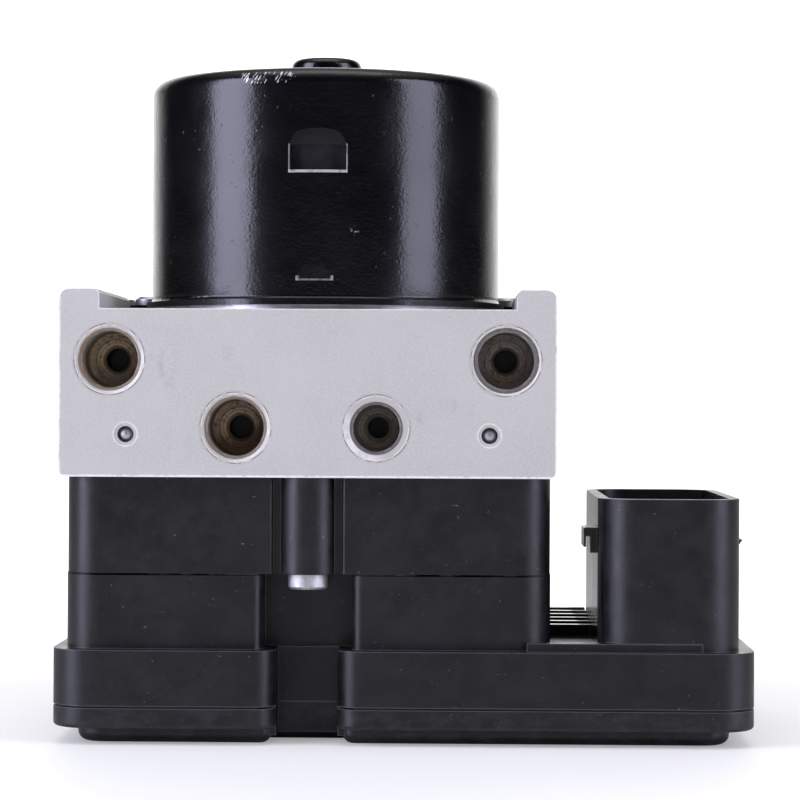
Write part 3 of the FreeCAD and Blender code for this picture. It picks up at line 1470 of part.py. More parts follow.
def electronics():
    """Coils, board, its components, plug pins, screws and the upper seal."""
    coil_z = upper_z + S.floor_thick
    outer = coil_r - S.yoke_thick
    coils = piece("solenoid_coils", (0, 0, coil_z + S.yoke_thick + 0.1))
    rings = draw(coils, "coil_rings")
    yokes = piece("coil_yokes", (0, 0, coil_z))
    plates = draw(yokes, "yoke_plates")
    walls = draw(yokes, "yoke_walls", "XY_Plane", (0, 0, S.yoke_thick))
    lids = draw(yokes, "yoke_lids", "XY_Plane", (0, 0, S.coil_tall - S.yoke_thick))
    for spot in valve_places():
        circle(rings, spot, outer - 0.1)
        circle(rings, spot, S.coil_bore_r)
        circle(walls, spot, coil_r)
        circle(walls, spot, outer)
        for ends_of_yoke in (plates, lids):
            circle(ends_of_yoke, spot, coil_r)
            circle(ends_of_yoke, spot, S.coil_bore_r)
    pad(coils, rings, S.coil_tall - 2 * S.yoke_thick - 0.2)
    pad(yokes, plates, S.yoke_thick)
    pad(yokes, walls, S.coil_tall - 2 * S.yoke_thick)
    pad(yokes, lids, S.yoke_thick)

    inset = S.housing_wall + 0.8
    board = piece("circuit_board", (0, 0, board_z))
    blank = draw(board, "board_outline")
    inner_outline(blank, inset, S.flange_round - inset)
    pad(board, blank, S.board_thick)
    cuts = draw(board, "board_cuts")
    notches(cuts, 1, S.notch_wide + 2 * S.housing_wall + 0.8, notch_back + S.housing_wall + 0.4)
    pocket(board, cuts, S.board_thick, flip=True)
    holes = draw(board, "board_holes")
    for side in (-1, 1):
        circle(holes, (side * side_screw_x, S.side_screw_y), S.well_r + S.well_wall + 0.3)
        circle(holes, (S.motor_x + side * S.lead_apart / 2, S.lead_bore_back), S.lead_r + 0.02)
    pocket(board, holes, S.board_thick, flip=True)

    chips = piece("board_chips", (0, 0, board_z))
    top = draw(chips, "chip_outlines", "XY_Plane", (0, 0, S.board_thick))
    for left, front, wide, long in (
        (-40, -30, 14, 14),
        (-18, -30, 10, 7),
        (-18, -18, 10, 7),
        (16, -30, 16, 12),
        (-40, 24, 8, 10),
        (-28, 24, 8, 10),
        (14, 24, 8, 10),
        (26, 24, 8, 10),
    ):
        rectangle(top, left, left + wide, front, front + long)
    pad(chips, top, 1.7)
    capacitors = turned("capacitors", [
        (0, 0),
        (S.capacitor_r - 0.4, 0),
        (S.capacitor_r - 0.4, 1.6),
        (S.capacitor_r - 0.8, 2.0),
        (S.capacitor_r - 0.4, 2.4),
        (S.capacitor_r, 2.8),
        (S.capacitor_r, S.capacitor_tall - 0.4),
        (S.capacitor_r - 0.4, S.capacitor_tall),
        (0, S.capacitor_tall),
    ], (S.capacitor_inset - flange_left, 0, board_z + S.board_thick))
    repeat(capacitors, [capacitors.Tip], "X_Axis", S.capacitor_pitch, 2)

    pins = piece("socket_pins")
    sections = draw(pins, "pin_sections", "XY_Plane", (0, 0, board_z + S.board_thick))
    pin_column(sections, 0)
    blades = pad(pins, sections, S.pin_long)
    repeat(pins, [blades], "X_Axis", S.pin_pitch_x, int(S.pin_columns.value))

    screws = piece("unit_screws", (0, 0, upper_z))
    shanks = draw(screws, "screw_shanks")
    heads = draw(screws, "screw_heads")
    sockets = draw(screws, "screw_sockets", "XY_Plane", (0, 0, -S.screw_head_tall))
    flats = range(6)
    for x, y in screw_places():
        circle(shanks, (x, y), S.screw_r)
        circle(heads, (x, y), S.screw_head_r)
        bearings = [math.tau * step / len(flats) for step in flats]
        polygon(sockets, [(x + 1.9 * math.cos(turn), y + 1.9 * math.sin(turn)) for turn in bearings])
    pad(screws, shanks, S.upper_tall + S.screw_bite)
    pad(screws, heads, S.screw_head_tall, flip=True)
    soften(screws, 0.5, lambda edge: flat_at(edge, -S.screw_head_tall), "Chamfer")
    soften(screws, 0.7, lambda edge: flat_at(edge, S.upper_tall + S.screw_bite), "Chamfer")
    pocket(screws, sockets, 1.8, flip=True)


valve_block()
small_parts_of_block()
pump("left", -1)
pump("right", 1)
motor_can()
motor_fixed_parts()
armature()
upper_housing()
lower_housing()
cover()
electronics()

doc.recompute()
parts = [thing for thing in doc.Objects if thing.isDerivedFrom("PartDesign::Body")]
for thing in doc.Objects:
    if {"Invalid", "Error"} & set(thing.State):
        raise RuntimeError(f"{thing.Label} failed: {thing.State}")
for part in parts:
    if part.Shape.isNull() or not part.Shape.isValid():
        raise RuntimeError(f"{part.Label} has no valid shape")
os.makedirs("parts", exist_ok=True)
for part in parts:
    part.Shape.exportStep(f"parts/{part.Label}.step")
    print(part.Label, len(part.Shape.Solids), "solids")
print(len(parts), "parts")
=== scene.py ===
# %% [markdown]
# # A brake module in its finishes
# This is an anti-lock brake module. An electric motor stands on a milled aluminium valve block, and
# a plastic control unit hangs under the block with its plug socket at one side. The frame already
# holds every solid in its true place, so this lesson gives the solids their finishes, adds what is
# too fine for solids, and lights the result on a pale floor.

import json
import math

import bpy
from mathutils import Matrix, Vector


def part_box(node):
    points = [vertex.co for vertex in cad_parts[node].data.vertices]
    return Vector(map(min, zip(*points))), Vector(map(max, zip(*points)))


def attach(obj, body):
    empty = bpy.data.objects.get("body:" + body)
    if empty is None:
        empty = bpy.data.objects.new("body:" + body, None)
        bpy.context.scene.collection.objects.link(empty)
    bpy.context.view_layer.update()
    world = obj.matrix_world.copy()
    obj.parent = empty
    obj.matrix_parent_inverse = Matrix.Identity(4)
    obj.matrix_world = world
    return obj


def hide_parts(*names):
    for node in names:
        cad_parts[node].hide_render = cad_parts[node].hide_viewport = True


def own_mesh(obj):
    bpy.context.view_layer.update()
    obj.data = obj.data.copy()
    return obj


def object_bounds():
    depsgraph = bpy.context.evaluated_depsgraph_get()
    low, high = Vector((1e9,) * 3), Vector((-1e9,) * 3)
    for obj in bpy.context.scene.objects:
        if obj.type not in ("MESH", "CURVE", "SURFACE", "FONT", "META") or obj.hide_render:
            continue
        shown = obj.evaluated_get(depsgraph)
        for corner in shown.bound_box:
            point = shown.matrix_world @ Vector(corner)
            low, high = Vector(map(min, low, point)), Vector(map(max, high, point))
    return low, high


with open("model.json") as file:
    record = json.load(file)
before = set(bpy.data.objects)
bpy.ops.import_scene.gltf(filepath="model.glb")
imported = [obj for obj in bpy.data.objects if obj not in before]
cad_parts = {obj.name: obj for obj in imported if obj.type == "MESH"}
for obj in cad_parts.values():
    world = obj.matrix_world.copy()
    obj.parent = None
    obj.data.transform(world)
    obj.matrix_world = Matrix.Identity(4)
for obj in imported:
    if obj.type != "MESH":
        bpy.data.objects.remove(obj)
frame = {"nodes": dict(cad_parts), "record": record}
start_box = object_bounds()

# %% [markdown]
# Positions come from the frame, never from guesswork. A node's box gives its lowest and highest
# corners, and a threaded mount gives the mouth, axis and radius of its hole. One millimetre is a
# thousandth of a Blender unit, and a name for it keeps the sizes readable.

# %% Places that later steps need
MM = 0.001
mounts = {mount["name"]: mount for mount in frame["record"]["mounts"]}
block_low, block_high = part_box("valve_block")
can_low, can_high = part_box("motor_can")
bearing_low, bearing_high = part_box("front_bearing_outer_ring")
motor_x = (bearing_low.x + bearing_high.x) / 2
front_y = block_low.y
print("front face at", round(front_y / MM, 2), "mm, motor axis at", round(motor_x / MM, 2), "mm")

# %% [markdown]
# Finishes, the sky and the threads are all node trees, and most trees repeat the same few moves: a
# ramp, a blend of two colours, a product of masks. A small builder class keeps each tree down to
# the lines that make it different.

# %% A builder for node trees
class Tree:
    """A node tree of one family, such as ShaderNode, and the moves that most trees repeat."""

    def __init__(self, tree, family):
        self.tree = tree
        self.family = family
        self.tree.nodes.clear()

    def node(self, kind, inputs=None, **settings):
        """Add a node, set its properties, and link or set its inputs."""
        node = self.tree.nodes.new(self.family + kind)
        for key, value in settings.items():
            setattr(node, key, value)
        for key, value in (inputs or {}).items():
            self.give(node.inputs[key], value)
        return node

    def give(self, socket, value):
        """Link a socket to another, or set it to a plain value."""
        if isinstance(value, bpy.types.NodeSocket):
            self.tree.links.new(value, socket)
        elif isinstance(value, tuple) and len(value) == 3 and socket.type == "RGBA":
            socket.default_value = (*value, 1)
        else:
            socket.default_value = value

    def sum(self, operation, *values):
        """One step of arithmetic on numbers or sockets."""
        return self.node("Math", dict(enumerate(values)), operation=operation).outputs[0]

    def both(self, *masks):
        """The product of masks and numbers, which is 1 only where all of them are 1."""
        result = masks[0]
        for mask in masks[1:]:
            result = self.sum("MULTIPLY", result, mask)
        return result

    def either(self, *masks):
        """The greatest of several masks."""
        result = masks[0]
        for mask in masks[1:]:
            result = self.sum("MAXIMUM", result, mask)
        return result

    def ramp(self, value, low, high, start=0.0, end=1.0):
        """Carry a value from low..high smoothly to start..end."""
        inputs = {"Value": value, "From Min": low, "From Max": high, "To Min": start, "To Max": end}
        return self.node("MapRange", inputs, interpolation_type="SMOOTHSTEP").outputs[0]

    def blend(self, amount, first, second):
        """Mix two colours."""
        return self.node("Mix", {0: amount, 6: first, 7: second}, data_type="RGBA").outputs[2]


print("builder:", Tree.__name__)

# %% [markdown]
# A finish is a tree of shader nodes round one shader. It adds noise, masks by place, edges painted
# lighter, partly as wear and partly as painted highlights, and bumps. A value that is the same all
# over goes straight onto the shader's socket.

# %% A builder for finishes
class Finish(Tree):
    """One procedural material, whose patterns follow the object's own coordinates."""

    def __init__(self, name):
        self.material = bpy.data.materials.new(name)
        self.material.use_nodes = True
        super().__init__(self.material.node_tree, "ShaderNode")
        self.shader = self.node("BsdfPrincipled")
        self.output = self.node("OutputMaterial", {"Surface": self.shader.outputs["BSDF"]})
        self.place = self.node("TexCoord").outputs["Object"]
        self.axes = self.node("SeparateXYZ", {"Vector": self.place}).outputs
        self.normal = self.node("NewGeometry").outputs["Normal"]
        self.facing = self.node("SeparateXYZ", {"Vector": self.normal}).outputs

    def stretched(self, x, y, z):
        """The object's coordinates, stretched along its axes so that a pattern runs in streaks."""
        return self.node("Mapping", {"Vector": self.place, "Scale": (x, y, z)}).outputs[0]

    def noise(self, size, detail=4.0, roughness=0.55, place=None):
        """Cloudy noise from 0 to 1, with features about size millimetres across."""
        inputs = {
            "Vector": place or self.place,
            "Scale": 1 / (size * MM),
            "Detail": detail,
            "Roughness": roughness,
        }
        return self.node("TexNoise", inputs).outputs["Fac"]

    def reach(self, first, second):
        """The distance from an axis, given the two coordinates across it."""
        squares = self.sum("ADD", self.sum("POWER", first, 2), self.sum("POWER", second, 2))
        return self.sum("SQRT", squares)

    def distance(self, place, spot):
        """How far a place is from a spot."""
        inputs = {0: place, 1: spot}
        return self.node("VectorMath", inputs, operation="DISTANCE").outputs["Value"]

    def before(self, value, edge, fade=1.0):
        """1 up to an edge, falling to 0 over fade millimetres past it."""
        return self.ramp(value, edge, edge + fade * MM, 1.0, 0.0)

    def span(self, value, low, high, origin=0.0, fade=0.12):
        """1 while a coordinate lies between two distances from an origin, in millimetres."""
        start = self.ramp(value, origin + (low - fade) * MM, origin + low * MM)
        end = self.ramp(value, origin + high * MM, origin + (high + fade) * MM, 1.0, 0.0)
        return self.sum("MULTIPLY", start, end)

    def near(self, spot, reach, fade):
        """1 within reach millimetres of a spot, falling to 0 over fade millimetres."""
        return self.before(self.distance(self.place, spot), reach * MM, fade)

    def edges(self, radius, low=0.004, high=0.06):
        """1 where the surface turns a sharp corner, found by how far a bevel turns its normal."""
        soft = self.node("Bevel", {"Radius": radius * MM}, samples=6).outputs["Normal"]
        normals = {0: soft, 1: self.normal}
        same = self.node("VectorMath", normals, operation="DOT_PRODUCT").outputs["Value"]
        return self.ramp(self.sum("SUBTRACT", 1.0, same), low, high)

    def bump(self, height, depth, normal=None):
        """Raise the surface by up to depth millimetres where height is 1."""
        inputs = {"Height": height, "Strength": 1.0, "Distance": depth * MM}
        if normal is not None:
            inputs["Normal"] = normal
        return self.node("Bump", inputs).outputs["Normal"]

    def wear(self, **sockets):
        """Set the shader's sockets. Words join with spaces, so Base_Color is Base Color."""
        for key, value in sockets.items():
            self.give(self.shader.inputs[key.replace("_", " ")], value)
        return self.material


def shade(tone, share):
    """A colour at a share of its brightness, no brighter than white."""
    return tuple(min(1, share * part) for part in tone)


def dress(material, *nodes):
    """Give a finish to CAD nodes."""
    for name in nodes:
        mesh = frame["nodes"][name].data
        mesh.materials.clear()
        mesh.materials.append(material)


print("builder:", Finish.__name__)

# %% [markdown]
# ## The motor can
# The can is deep-drawn steel with a thick gloss black enamel. The enamel has a fine orange peel,
# so its reflections waver, and pits and nibs of dust are set in it. The noise sizes are in
# millimetres: well under one for the peel, a few for the slow waves of the drawn steel.

# %% Enamel: peel, pits and dust
enamel = Finish("gloss_enamel")
peel = enamel.noise(0.6, 1, 0.5)
waves = enamel.noise(5, 2)
haze = enamel.noise(14, 5)
pits = enamel.ramp(enamel.noise(1.7, 1, 0.4), 0.74, 0.78)
nibs = enamel.ramp(enamel.noise(1.3, 1, 0.4), 0.78, 0.81)
print("enamel nodes so far:", len(enamel.tree.nodes))

# %% [markdown]
# The enamel has known chips. A row of slanting scratches crosses the front of the top rim, and a
# small star lies low on the front. The masks start from the can's own box, so they follow the
# solid.

# %% Enamel: scratches and a chip
BOSS_TALL = 5.5 * MM
STAR_AT = Vector((7.6, 2.0, 15.3)) * MM
can_front = can_low.y
can_top = can_high.z - BOSS_TALL
across = enamel.sum("SUBTRACT", enamel.axes["X"], motor_x)

slanted = {"Vector": enamel.place, "Rotation": (0, 0.55, 0), "Scale": (0.8, 5, 5)}
slant = enamel.node("Mapping", slanted, vector_type="TEXTURE").outputs[0]
rim_scrape = enamel.both(
    enamel.span(across, -16.5, -4.8),
    enamel.span(enamel.axes["Z"], -3.3, -1.1, can_top),
    enamel.before(enamel.axes["Y"], can_front + 7 * MM),
    enamel.ramp(enamel.noise(0.45, 2, 0.5, slant), 0.60, 0.63),
)
star_at = Vector((motor_x, can_front, can_low.z)) + STAR_AT
star_chip = enamel.both(
    enamel.near(star_at, 0.4, 0.9),
    enamel.ramp(enamel.noise(0.6, 5, 0.7), 0.56, 0.62, 0.0, 0.7),
)
print("scratches hang from", round(can_top / MM, 1), "mm")

# %% [markdown]
# Bare metal shows where the window and the dent were cut in the front. Each cut edge is a narrow
# strip, broken by noise.

# %% Enamel: cut edges
# Each edge: its left, right, low and high side in millimetres, and how bare it is.
CUT_EDGES = (
    (-6.0, -5.8, 27.4, 32.9, 0.5),
    (5.75, 6.0, 27.4, 32.9, 0.8),
    (-6.0, 6.0, 27.1, 27.6, 1.0),
    (-4.2, 3.0, 5.0, 5.25, 0.35),
    (-4.4, -3.9, 5.0, 5.9, 0.7),
    (2.7, 3.2, 5.0, 5.9, 0.7),
)
rise = enamel.sum("SUBTRACT", enamel.axes["Z"], can_low.z)
strips = [
    enamel.both(enamel.span(across, left, right), enamel.span(rise, low, high), bareness)
    for left, right, low, high, bareness in CUT_EDGES
]
cuts = enamel.both(
    enamel.either(*strips),
    enamel.before(enamel.axes["Y"], can_front + 4 * MM),
    enamel.ramp(enamel.noise(1.6, 3), 0.3, 0.5, 0.35, 0.9),
)
bare = enamel.either(rim_scrape, star_chip, cuts)
print("cut edges:", len(strips))

# %% [markdown]
# The metal over the window and over the dent is pressed inwards, so it lies nearer the motor's
# axis than the barrel does. Its paint is dull, and there it is painted a lighter grey, a painted
# sheen.

# %% Enamel: painted sheen on the pressed places, and the coat
BARREL_R = 37.6 * MM
BARE_STEEL = (0.66, 0.66, 0.67)
DUST_TONE = (0.35, 0.35, 0.36)
around = enamel.reach(across, enamel.axes["Y"])
over_window = enamel.span(rise, 32.8, 38.0)
over_dent = enamel.both(enamel.span(rise, 5.4, 9.0), 0.6)
pressed_sheen = enamel.both(
    enamel.before(around, BARREL_R - 0.5 * MM, 0.4),
    enamel.either(over_window, over_dent),
    enamel.before(enamel.axes["Y"], can_front + 6 * MM, 2.0),
)
coat = enamel.blend(haze, (0.0016, 0.0016, 0.0024), (0.0028, 0.0028, 0.0040))
# The pressed places are painted a lighter grey, a painted sheen.
coat = enamel.blend(pressed_sheen, coat, (0.018, 0.018, 0.019))
dusty = enamel.blend(enamel.both(nibs, 0.12), coat, DUST_TONE)
gloss = enamel.ramp(haze, 0.3, 0.7, 0.18, 0.24)
relief = enamel.bump(waves, 0.06, enamel.bump(peel, 0.026))
dress(
    enamel.wear(
        Base_Color=enamel.blend(bare, dusty, BARE_STEEL),
        Metallic=enamel.both(bare, 0.6),
        Roughness=enamel.sum("ADD", gloss, enamel.both(bare, 0.25)),
        Normal=enamel.bump(nibs, 0.02, enamel.bump(pits, -0.02, relief)),
    ),
    "motor_can",
)
print("enamel nodes:", len(enamel.tree.nodes))

# %% [markdown]
# ## The valve block
# The block is sawn from extruded aluminium bar, milled, drilled, and blasted, so it is pale grey
# with a fine sparkle. Its milled edges are painted brighter than the faces, partly as worn metal
# and partly as a painted highlight, most of all along the sides and the foot of the front face,
# where a painted highlight line runs. Handling has left faint smudges beside the ports.

# %% Blasted aluminium
alloy = Finish("blasted_aluminium")
fine = alloy.noise(0.28, 2, 0.6)
cloud = alloy.noise(16, 4)
tool_lines = alloy.noise(0.9, 3, 0.6, alloy.stretched(0.05, 1, 1))
metal = alloy.blend(cloud, (0.48, 0.475, 0.45), (0.63, 0.625, 0.595))
metal = alloy.blend(alloy.ramp(fine, 0.35, 0.65, 0.0, 0.8), metal, (0.66, 0.655, 0.62))
# Edges are painted near white, partly worn metal and partly a painted highlight.
worn_and_lit_edges = alloy.both(alloy.edges(0.45), alloy.ramp(alloy.noise(1.8, 4), 0.3, 0.5, 0.3, 0.95))
metal = alloy.blend(worn_and_lit_edges, metal, (0.97, 0.97, 0.98))
print("alloy nodes so far:", len(alloy.tree.nodes))

# %% Smudges, and a painted highlight along the rim of the front face
SMUDGE_TONE = (0.30, 0.295, 0.30)
RIM_HIGHLIGHT_TONE = (0.95, 0.95, 0.94)
# Each smudge: millimetres to the right of the middle, above the block's foot, and its reach.
SMUDGES = (
    (-29.2, 23.0, 3.6),
    (-28.6, 19.0, 2.6),
    (-16.0, 25.0, 2.0),
    (22.7, 12.1, 2.2),
    (29.0, 14.4, 2.0),
)
mottled = alloy.ramp(alloy.noise(1.5, 5, 0.7), 0.42, 0.66, 0.0, 0.26)
for right_mm, up_mm, reach in SMUDGES:
    spot = (right_mm * MM, front_y, block_low.z + up_mm * MM)
    smudge = alloy.both(alloy.near(spot, 0.2 * reach, reach), mottled)
    metal = alloy.blend(smudge, metal, SMUDGE_TONE)

front_only = alloy.before(alloy.axes["Y"], front_y + 0.4 * MM, 0.3)
off_middle = alloy.sum("ABSOLUTE", alloy.axes["X"])
# A thin light line painted along the sides and foot of the front face is a painted edge highlight.
rim_highlight = alloy.either(
    alloy.ramp(off_middle, block_high.x - 0.55 * MM, block_high.x - 0.3 * MM),
    alloy.ramp(alloy.axes["Z"], block_low.z + 0.55 * MM, block_low.z + 0.3 * MM),
)
broken = alloy.ramp(alloy.noise(1.5, 4, 0.7), 0.35, 0.55, 0.25, 0.95)
metal = alloy.blend(alloy.both(rim_highlight, broken, front_only), metal, RIM_HIGHLIGHT_TONE)
print("smudges:", len(SMUDGES))

# %% Dark lines round the sealing balls
LINE_TONE = (0.07, 0.068, 0.065)
LINE_MM = 0.1
ball_low, ball_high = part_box("sealing_balls")
ball_r = (ball_high.z - ball_low.z) / 2
flattened = {"X": alloy.axes["X"], "Y": 0.0, "Z": alloy.axes["Z"]}
on_face = alloy.node("CombineXYZ", flattened).outputs[0]
for ball_x in (ball_low.x + ball_r, ball_high.x - ball_r):
    spot = (ball_x, 0.0, ball_low.z + ball_r)
    away = alloy.distance(on_face, spot)
    line = alloy.both(alloy.span(away, ball_r / MM, ball_r / MM + LINE_MM), 0.7)
    metal = alloy.blend(line, metal, LINE_TONE)
print("ball radius:", round(ball_r / MM, 2), "mm")

# %% [markdown]
# ## The wheel ports
# Old brake fluid has left a tan film in each port. The film is painted lighter towards the top and
# darker towards the bottom, as painted light and shade, and darker round the drilling at the
# bottom, whose inside is painted nearly black as painted shade. The drill left circles in the film.
# At the mouth the film ends in a dark collar, outside it is a plain turned ring with a painted
# highlight on one side, and a thin burnt line rings both. The masks use each port's axis and radius
# from the frame, so they stay on the holes.

# %% Depths and patches in the ports
CONE_STARTS = front_y + 5 * MM
DRILL_STARTS = front_y + 14.4 * MM
FILM_ENDS = front_y + 22 * MM
drilled = alloy.before(alloy.axes["Y"], FILM_ENDS, 2.0)
at_cone = alloy.ramp(alloy.axes["Y"], CONE_STARTS, CONE_STARTS + 5 * MM)
at_drill = alloy.ramp(alloy.axes["Y"], DRILL_STARTS, DRILL_STARTS + 1 * MM)
patches = alloy.noise(2.6, 5, 0.65)
freckles = alloy.noise(0.9, 4, 0.7)
wall_film = alloy.ramp(patches, 0.40, 0.55, 0.72, 0.96)
print("alloy nodes so far:", len(alloy.tree.nodes))

# %% The film's colour in a port, with painted light and shade
FRECKLE_TONE = (0.12, 0.055, 0.025)
HALO_TONE = (0.035, 0.02, 0.014)
DRILL_SHADE_TONE = (0.010, 0.008, 0.007)


def cone_tone(apart, upward, sideways, bore_r, lit_film_tone, shaded_film_tone):
    """The film's colour in a port: painted light above and shade below, dark circles and freckles,
    darker by the wall and the drill, and painted shade inside the drill.
    """
    slope = alloy.sum("SUBTRACT", upward, alloy.both(sideways, 0.5))
    lit_height = alloy.sum("MULTIPLY_ADD", patches, 9 * MM, slope)
    # The film is painted lighter towards the top and darker below, as painted light and shade.
    tone = alloy.blend(alloy.ramp(lit_height, 1 * MM, 8 * MM), shaded_film_tone, lit_film_tone)
    circles = alloy.noise(0.5, 3, 0.6, alloy.node("CombineXYZ", {"X": apart}).outputs[0])
    tone = alloy.blend(alloy.ramp(circles, 0.44, 0.60, 0.0, 0.75), tone, shade(shaded_film_tone, 0.45))
    tone = alloy.blend(alloy.ramp(freckles, 0.52, 0.64, 0.0, 0.7), tone, FRECKLE_TONE)
    outer = alloy.both(
        alloy.ramp(apart, 3.9 * MM, bore_r * MM, 0.0, 0.65),
        alloy.ramp(freckles, 0.3, 0.6, 0.6, 1.0),
    )
    tone = alloy.blend(outer, tone, shade(shaded_film_tone, 0.35))
    halo = alloy.both(alloy.ramp(apart, 1.9 * MM, 3.3 * MM, 0.7, 0.0), at_cone)
    tone = alloy.blend(halo, tone, HALO_TONE)
    # The inside of the drilling is painted nearly black, a painted shade.
    return alloy.blend(at_drill, tone, DRILL_SHADE_TONE)


print("helper:", cone_tone.__name__)

# %% The rings round a port's mouth
def mouth_masks(apart, upward, sideways, bore_r, mouth_r, stain_r, lit_side):
    """Masks round a port's mouth: the plain ring, a painted highlight on its lit side, the collar
    and burnt lines.
    """
    towards = alloy.sum("MULTIPLY_ADD", sideways, 0.8 * lit_side, alloy.both(upward, -0.6))
    lit = alloy.ramp(towards, 1 * MM, 6 * MM)
    ring = alloy.both(alloy.span(apart, bore_r + 0.3, mouth_r), front_only)
    glint = alloy.both(alloy.span(apart, mouth_r - 0.25, mouth_r), front_only)
    # The ring's lit side and the glint at its edge are a painted highlight.
    ring_highlight = alloy.either(
        alloy.both(ring, lit, alloy.ramp(patches, 0.4, 0.6, 0.35, 0.8)),
        alloy.both(glint, alloy.ramp(patches, 0.42, 0.56, 0.0, 0.6)),
    )
    unlit = alloy.sum("MULTIPLY_ADD", lit, -0.6, 0.9)
    plain = alloy.both(alloy.span(apart, bore_r + 0.3, mouth_r + 0.45), front_only, unlit)
    stained = alloy.ramp(freckles, 0.36, 0.5, 0.7, 0.97)
    collar = alloy.both(alloy.span(apart, bore_r - 0.9, stain_r), front_only, stained)
    lines = alloy.either(
        alloy.span(apart, mouth_r, mouth_r + 0.12),
        alloy.span(apart, bore_r + 0.15, bore_r + 0.35),
    )
    burnt = alloy.both(lines, front_only, alloy.ramp(patches, 0.44, 0.54, 0.0, 0.8))
    return plain, ring_highlight, collar, burnt


print("helper:", mouth_masks.__name__)

# %% Films and rings of the wheel ports
PLAIN_TONE = (0.54, 0.535, 0.51)
HIGHLIGHT_TONE = (0.95, 0.945, 0.93)
BURNT_TONE = (0.22, 0.13, 0.07)
# Each port: the radii of its mouth and its stain in millimetres, the side with a painted highlight,
# 1 for the right or -1 for the left, and the film's colours painted lit at the top and shaded
# below.
PORT_LOOKS = {
    "wheel_port_high_left": (7.1, 6.15, 1, (0.82, 0.62, 0.42), (0.30, 0.24, 0.20)),
    "wheel_port_high_right": (7.1, 6.55, 1, (0.52, 0.47, 0.43), (0.32, 0.27, 0.24)),
    "wheel_port_low_left": (7.1, 6.2, 1, (0.80, 0.62, 0.46), (0.17, 0.11, 0.085)),
    "wheel_port_low_right": (6.7, 5.3, -1, (0.48, 0.43, 0.40), (0.28, 0.24, 0.21)),
}
films = []
for name, (mouth_r, stain_r, lit_side, lit_film_tone, shaded_film_tone) in PORT_LOOKS.items():
    centre = mounts[name]["pos_m"]
    bore_r = mounts[name]["dims"]["r_mm"]
    sideways = alloy.sum("SUBTRACT", alloy.axes["X"], centre[0])
    upward = alloy.sum("SUBTRACT", alloy.axes["Z"], centre[2])
    apart = alloy.reach(sideways, upward)
    inside = alloy.both(alloy.before(apart, (bore_r + 0.3) * MM, 0.08), drilled)
    film = alloy.both(inside, alloy.either(at_cone, wall_film))
    tone = cone_tone(apart, upward, sideways, bore_r, lit_film_tone, shaded_film_tone)
    masks = mouth_masks(apart, upward, sideways, bore_r, mouth_r, stain_r, lit_side)
    plain, ring_highlight, collar, burnt = masks
    metal = alloy.blend(plain, metal, PLAIN_TONE)
    # Painted highlight on the ring's lit side.
    metal = alloy.blend(ring_highlight, metal, HIGHLIGHT_TONE)
    metal = alloy.blend(collar, metal, shade(lit_film_tone, 0.11))
    metal = alloy.blend(burnt, metal, BURNT_TONE)
    metal = alloy.blend(film, metal, alloy.blend(at_cone, shade(lit_film_tone, 0.3), tone))
    films.append(film)

faint = alloy.ramp(alloy.noise(9, 6, 0.7, alloy.stretched(1, 1, 0.35)), 0.6, 0.72, 0.0, 0.12)
dress(
    alloy.wear(
        Base_Color=alloy.blend(faint, metal, (0.42, 0.41, 0.40)),
        Metallic=alloy.ramp(alloy.either(*films), 0.0, 0.6, 0.22, 0.05),
        Roughness=alloy.ramp(fine, 0.3, 0.7, 0.44, 0.58),
        Normal=alloy.bump(tool_lines, 0.006, alloy.bump(fine, 0.012)),
    ),
    "valve_block",
)
print("ports with a film:", len(films), "alloy nodes:", len(alloy.tree.nodes))

# %% [markdown]
# ## The control unit's plastic
# The unit is moulded in black glass-filled nylon from a finely sparked mould, which leaves a dull,
# even texture. The edges of the mouldings are painted lighter, a painted highlight. Specks of dust
# and small pale scuffs lie on every side, and the cover at the foot is the most handled.

# %% Nylon: texture, painted edge highlights, dust and scuffs
COVER_TOP = 7 * MM
nylon = Finish("sparked_nylon")
spark = nylon.noise(0.22, 2, 0.6)
mottle = nylon.ramp(nylon.noise(7, 5, 0.6), 0.3, 0.7)
black = nylon.blend(mottle, (0.0022, 0.0021, 0.0030), (0.0085, 0.0080, 0.0100))
# Sharp edges are painted lighter, a painted highlight.
black = nylon.blend(nylon.both(nylon.edges(0.35), 0.6), black, (0.13, 0.128, 0.14))
scuff = nylon.ramp(nylon.noise(1.1, 5, 0.7, nylon.stretched(0.25, 1, 1.6)), 0.64, 0.74, 0.0, 0.14)
specks = nylon.ramp(nylon.noise(0.8, 1, 0.4), 0.77, 0.80, 0.0, 0.35)
dust = nylon.ramp(nylon.noise(0.4, 3), 0.66, 0.74)
settled = nylon.both(dust, nylon.ramp(nylon.facing["Z"], 0.2, 0.9, 0.06, 0.35))
handled = nylon.both(
    nylon.ramp(nylon.noise(2.4, 6, 0.75, nylon.stretched(0.6, 1, 1)), 0.42, 0.66, 0.0, 0.055),
    nylon.ramp(nylon.axes["Z"], COVER_TOP, COVER_TOP + 0.8 * MM, 1.0, 0.12),
)
black = nylon.blend(nylon.either(specks, scuff, settled, handled), black, (0.22, 0.22, 0.23))
print("nylon nodes so far:", len(nylon.tree.nodes))

# %% [markdown]
# A dark line of painted shade, with its specular turned down, runs along the seam between the two
# housings. The side wall of the plug socket slides against a core in the mould, which leaves
# upright drag lines and a shinier surface there, and its drag lines are painted lighter, partly
# real marks and partly a painted reflection. The tops of the ribs beside the socket are as smooth.

# %% Nylon: painted shade in the seam, and smooth walls with a painted reflection
BODY_SIDE = 49.5 * MM
SOCKET_SIDE = 56 * MM
RIB_TOP = 21.1 * MM
seam_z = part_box("coil_housing")[0].z
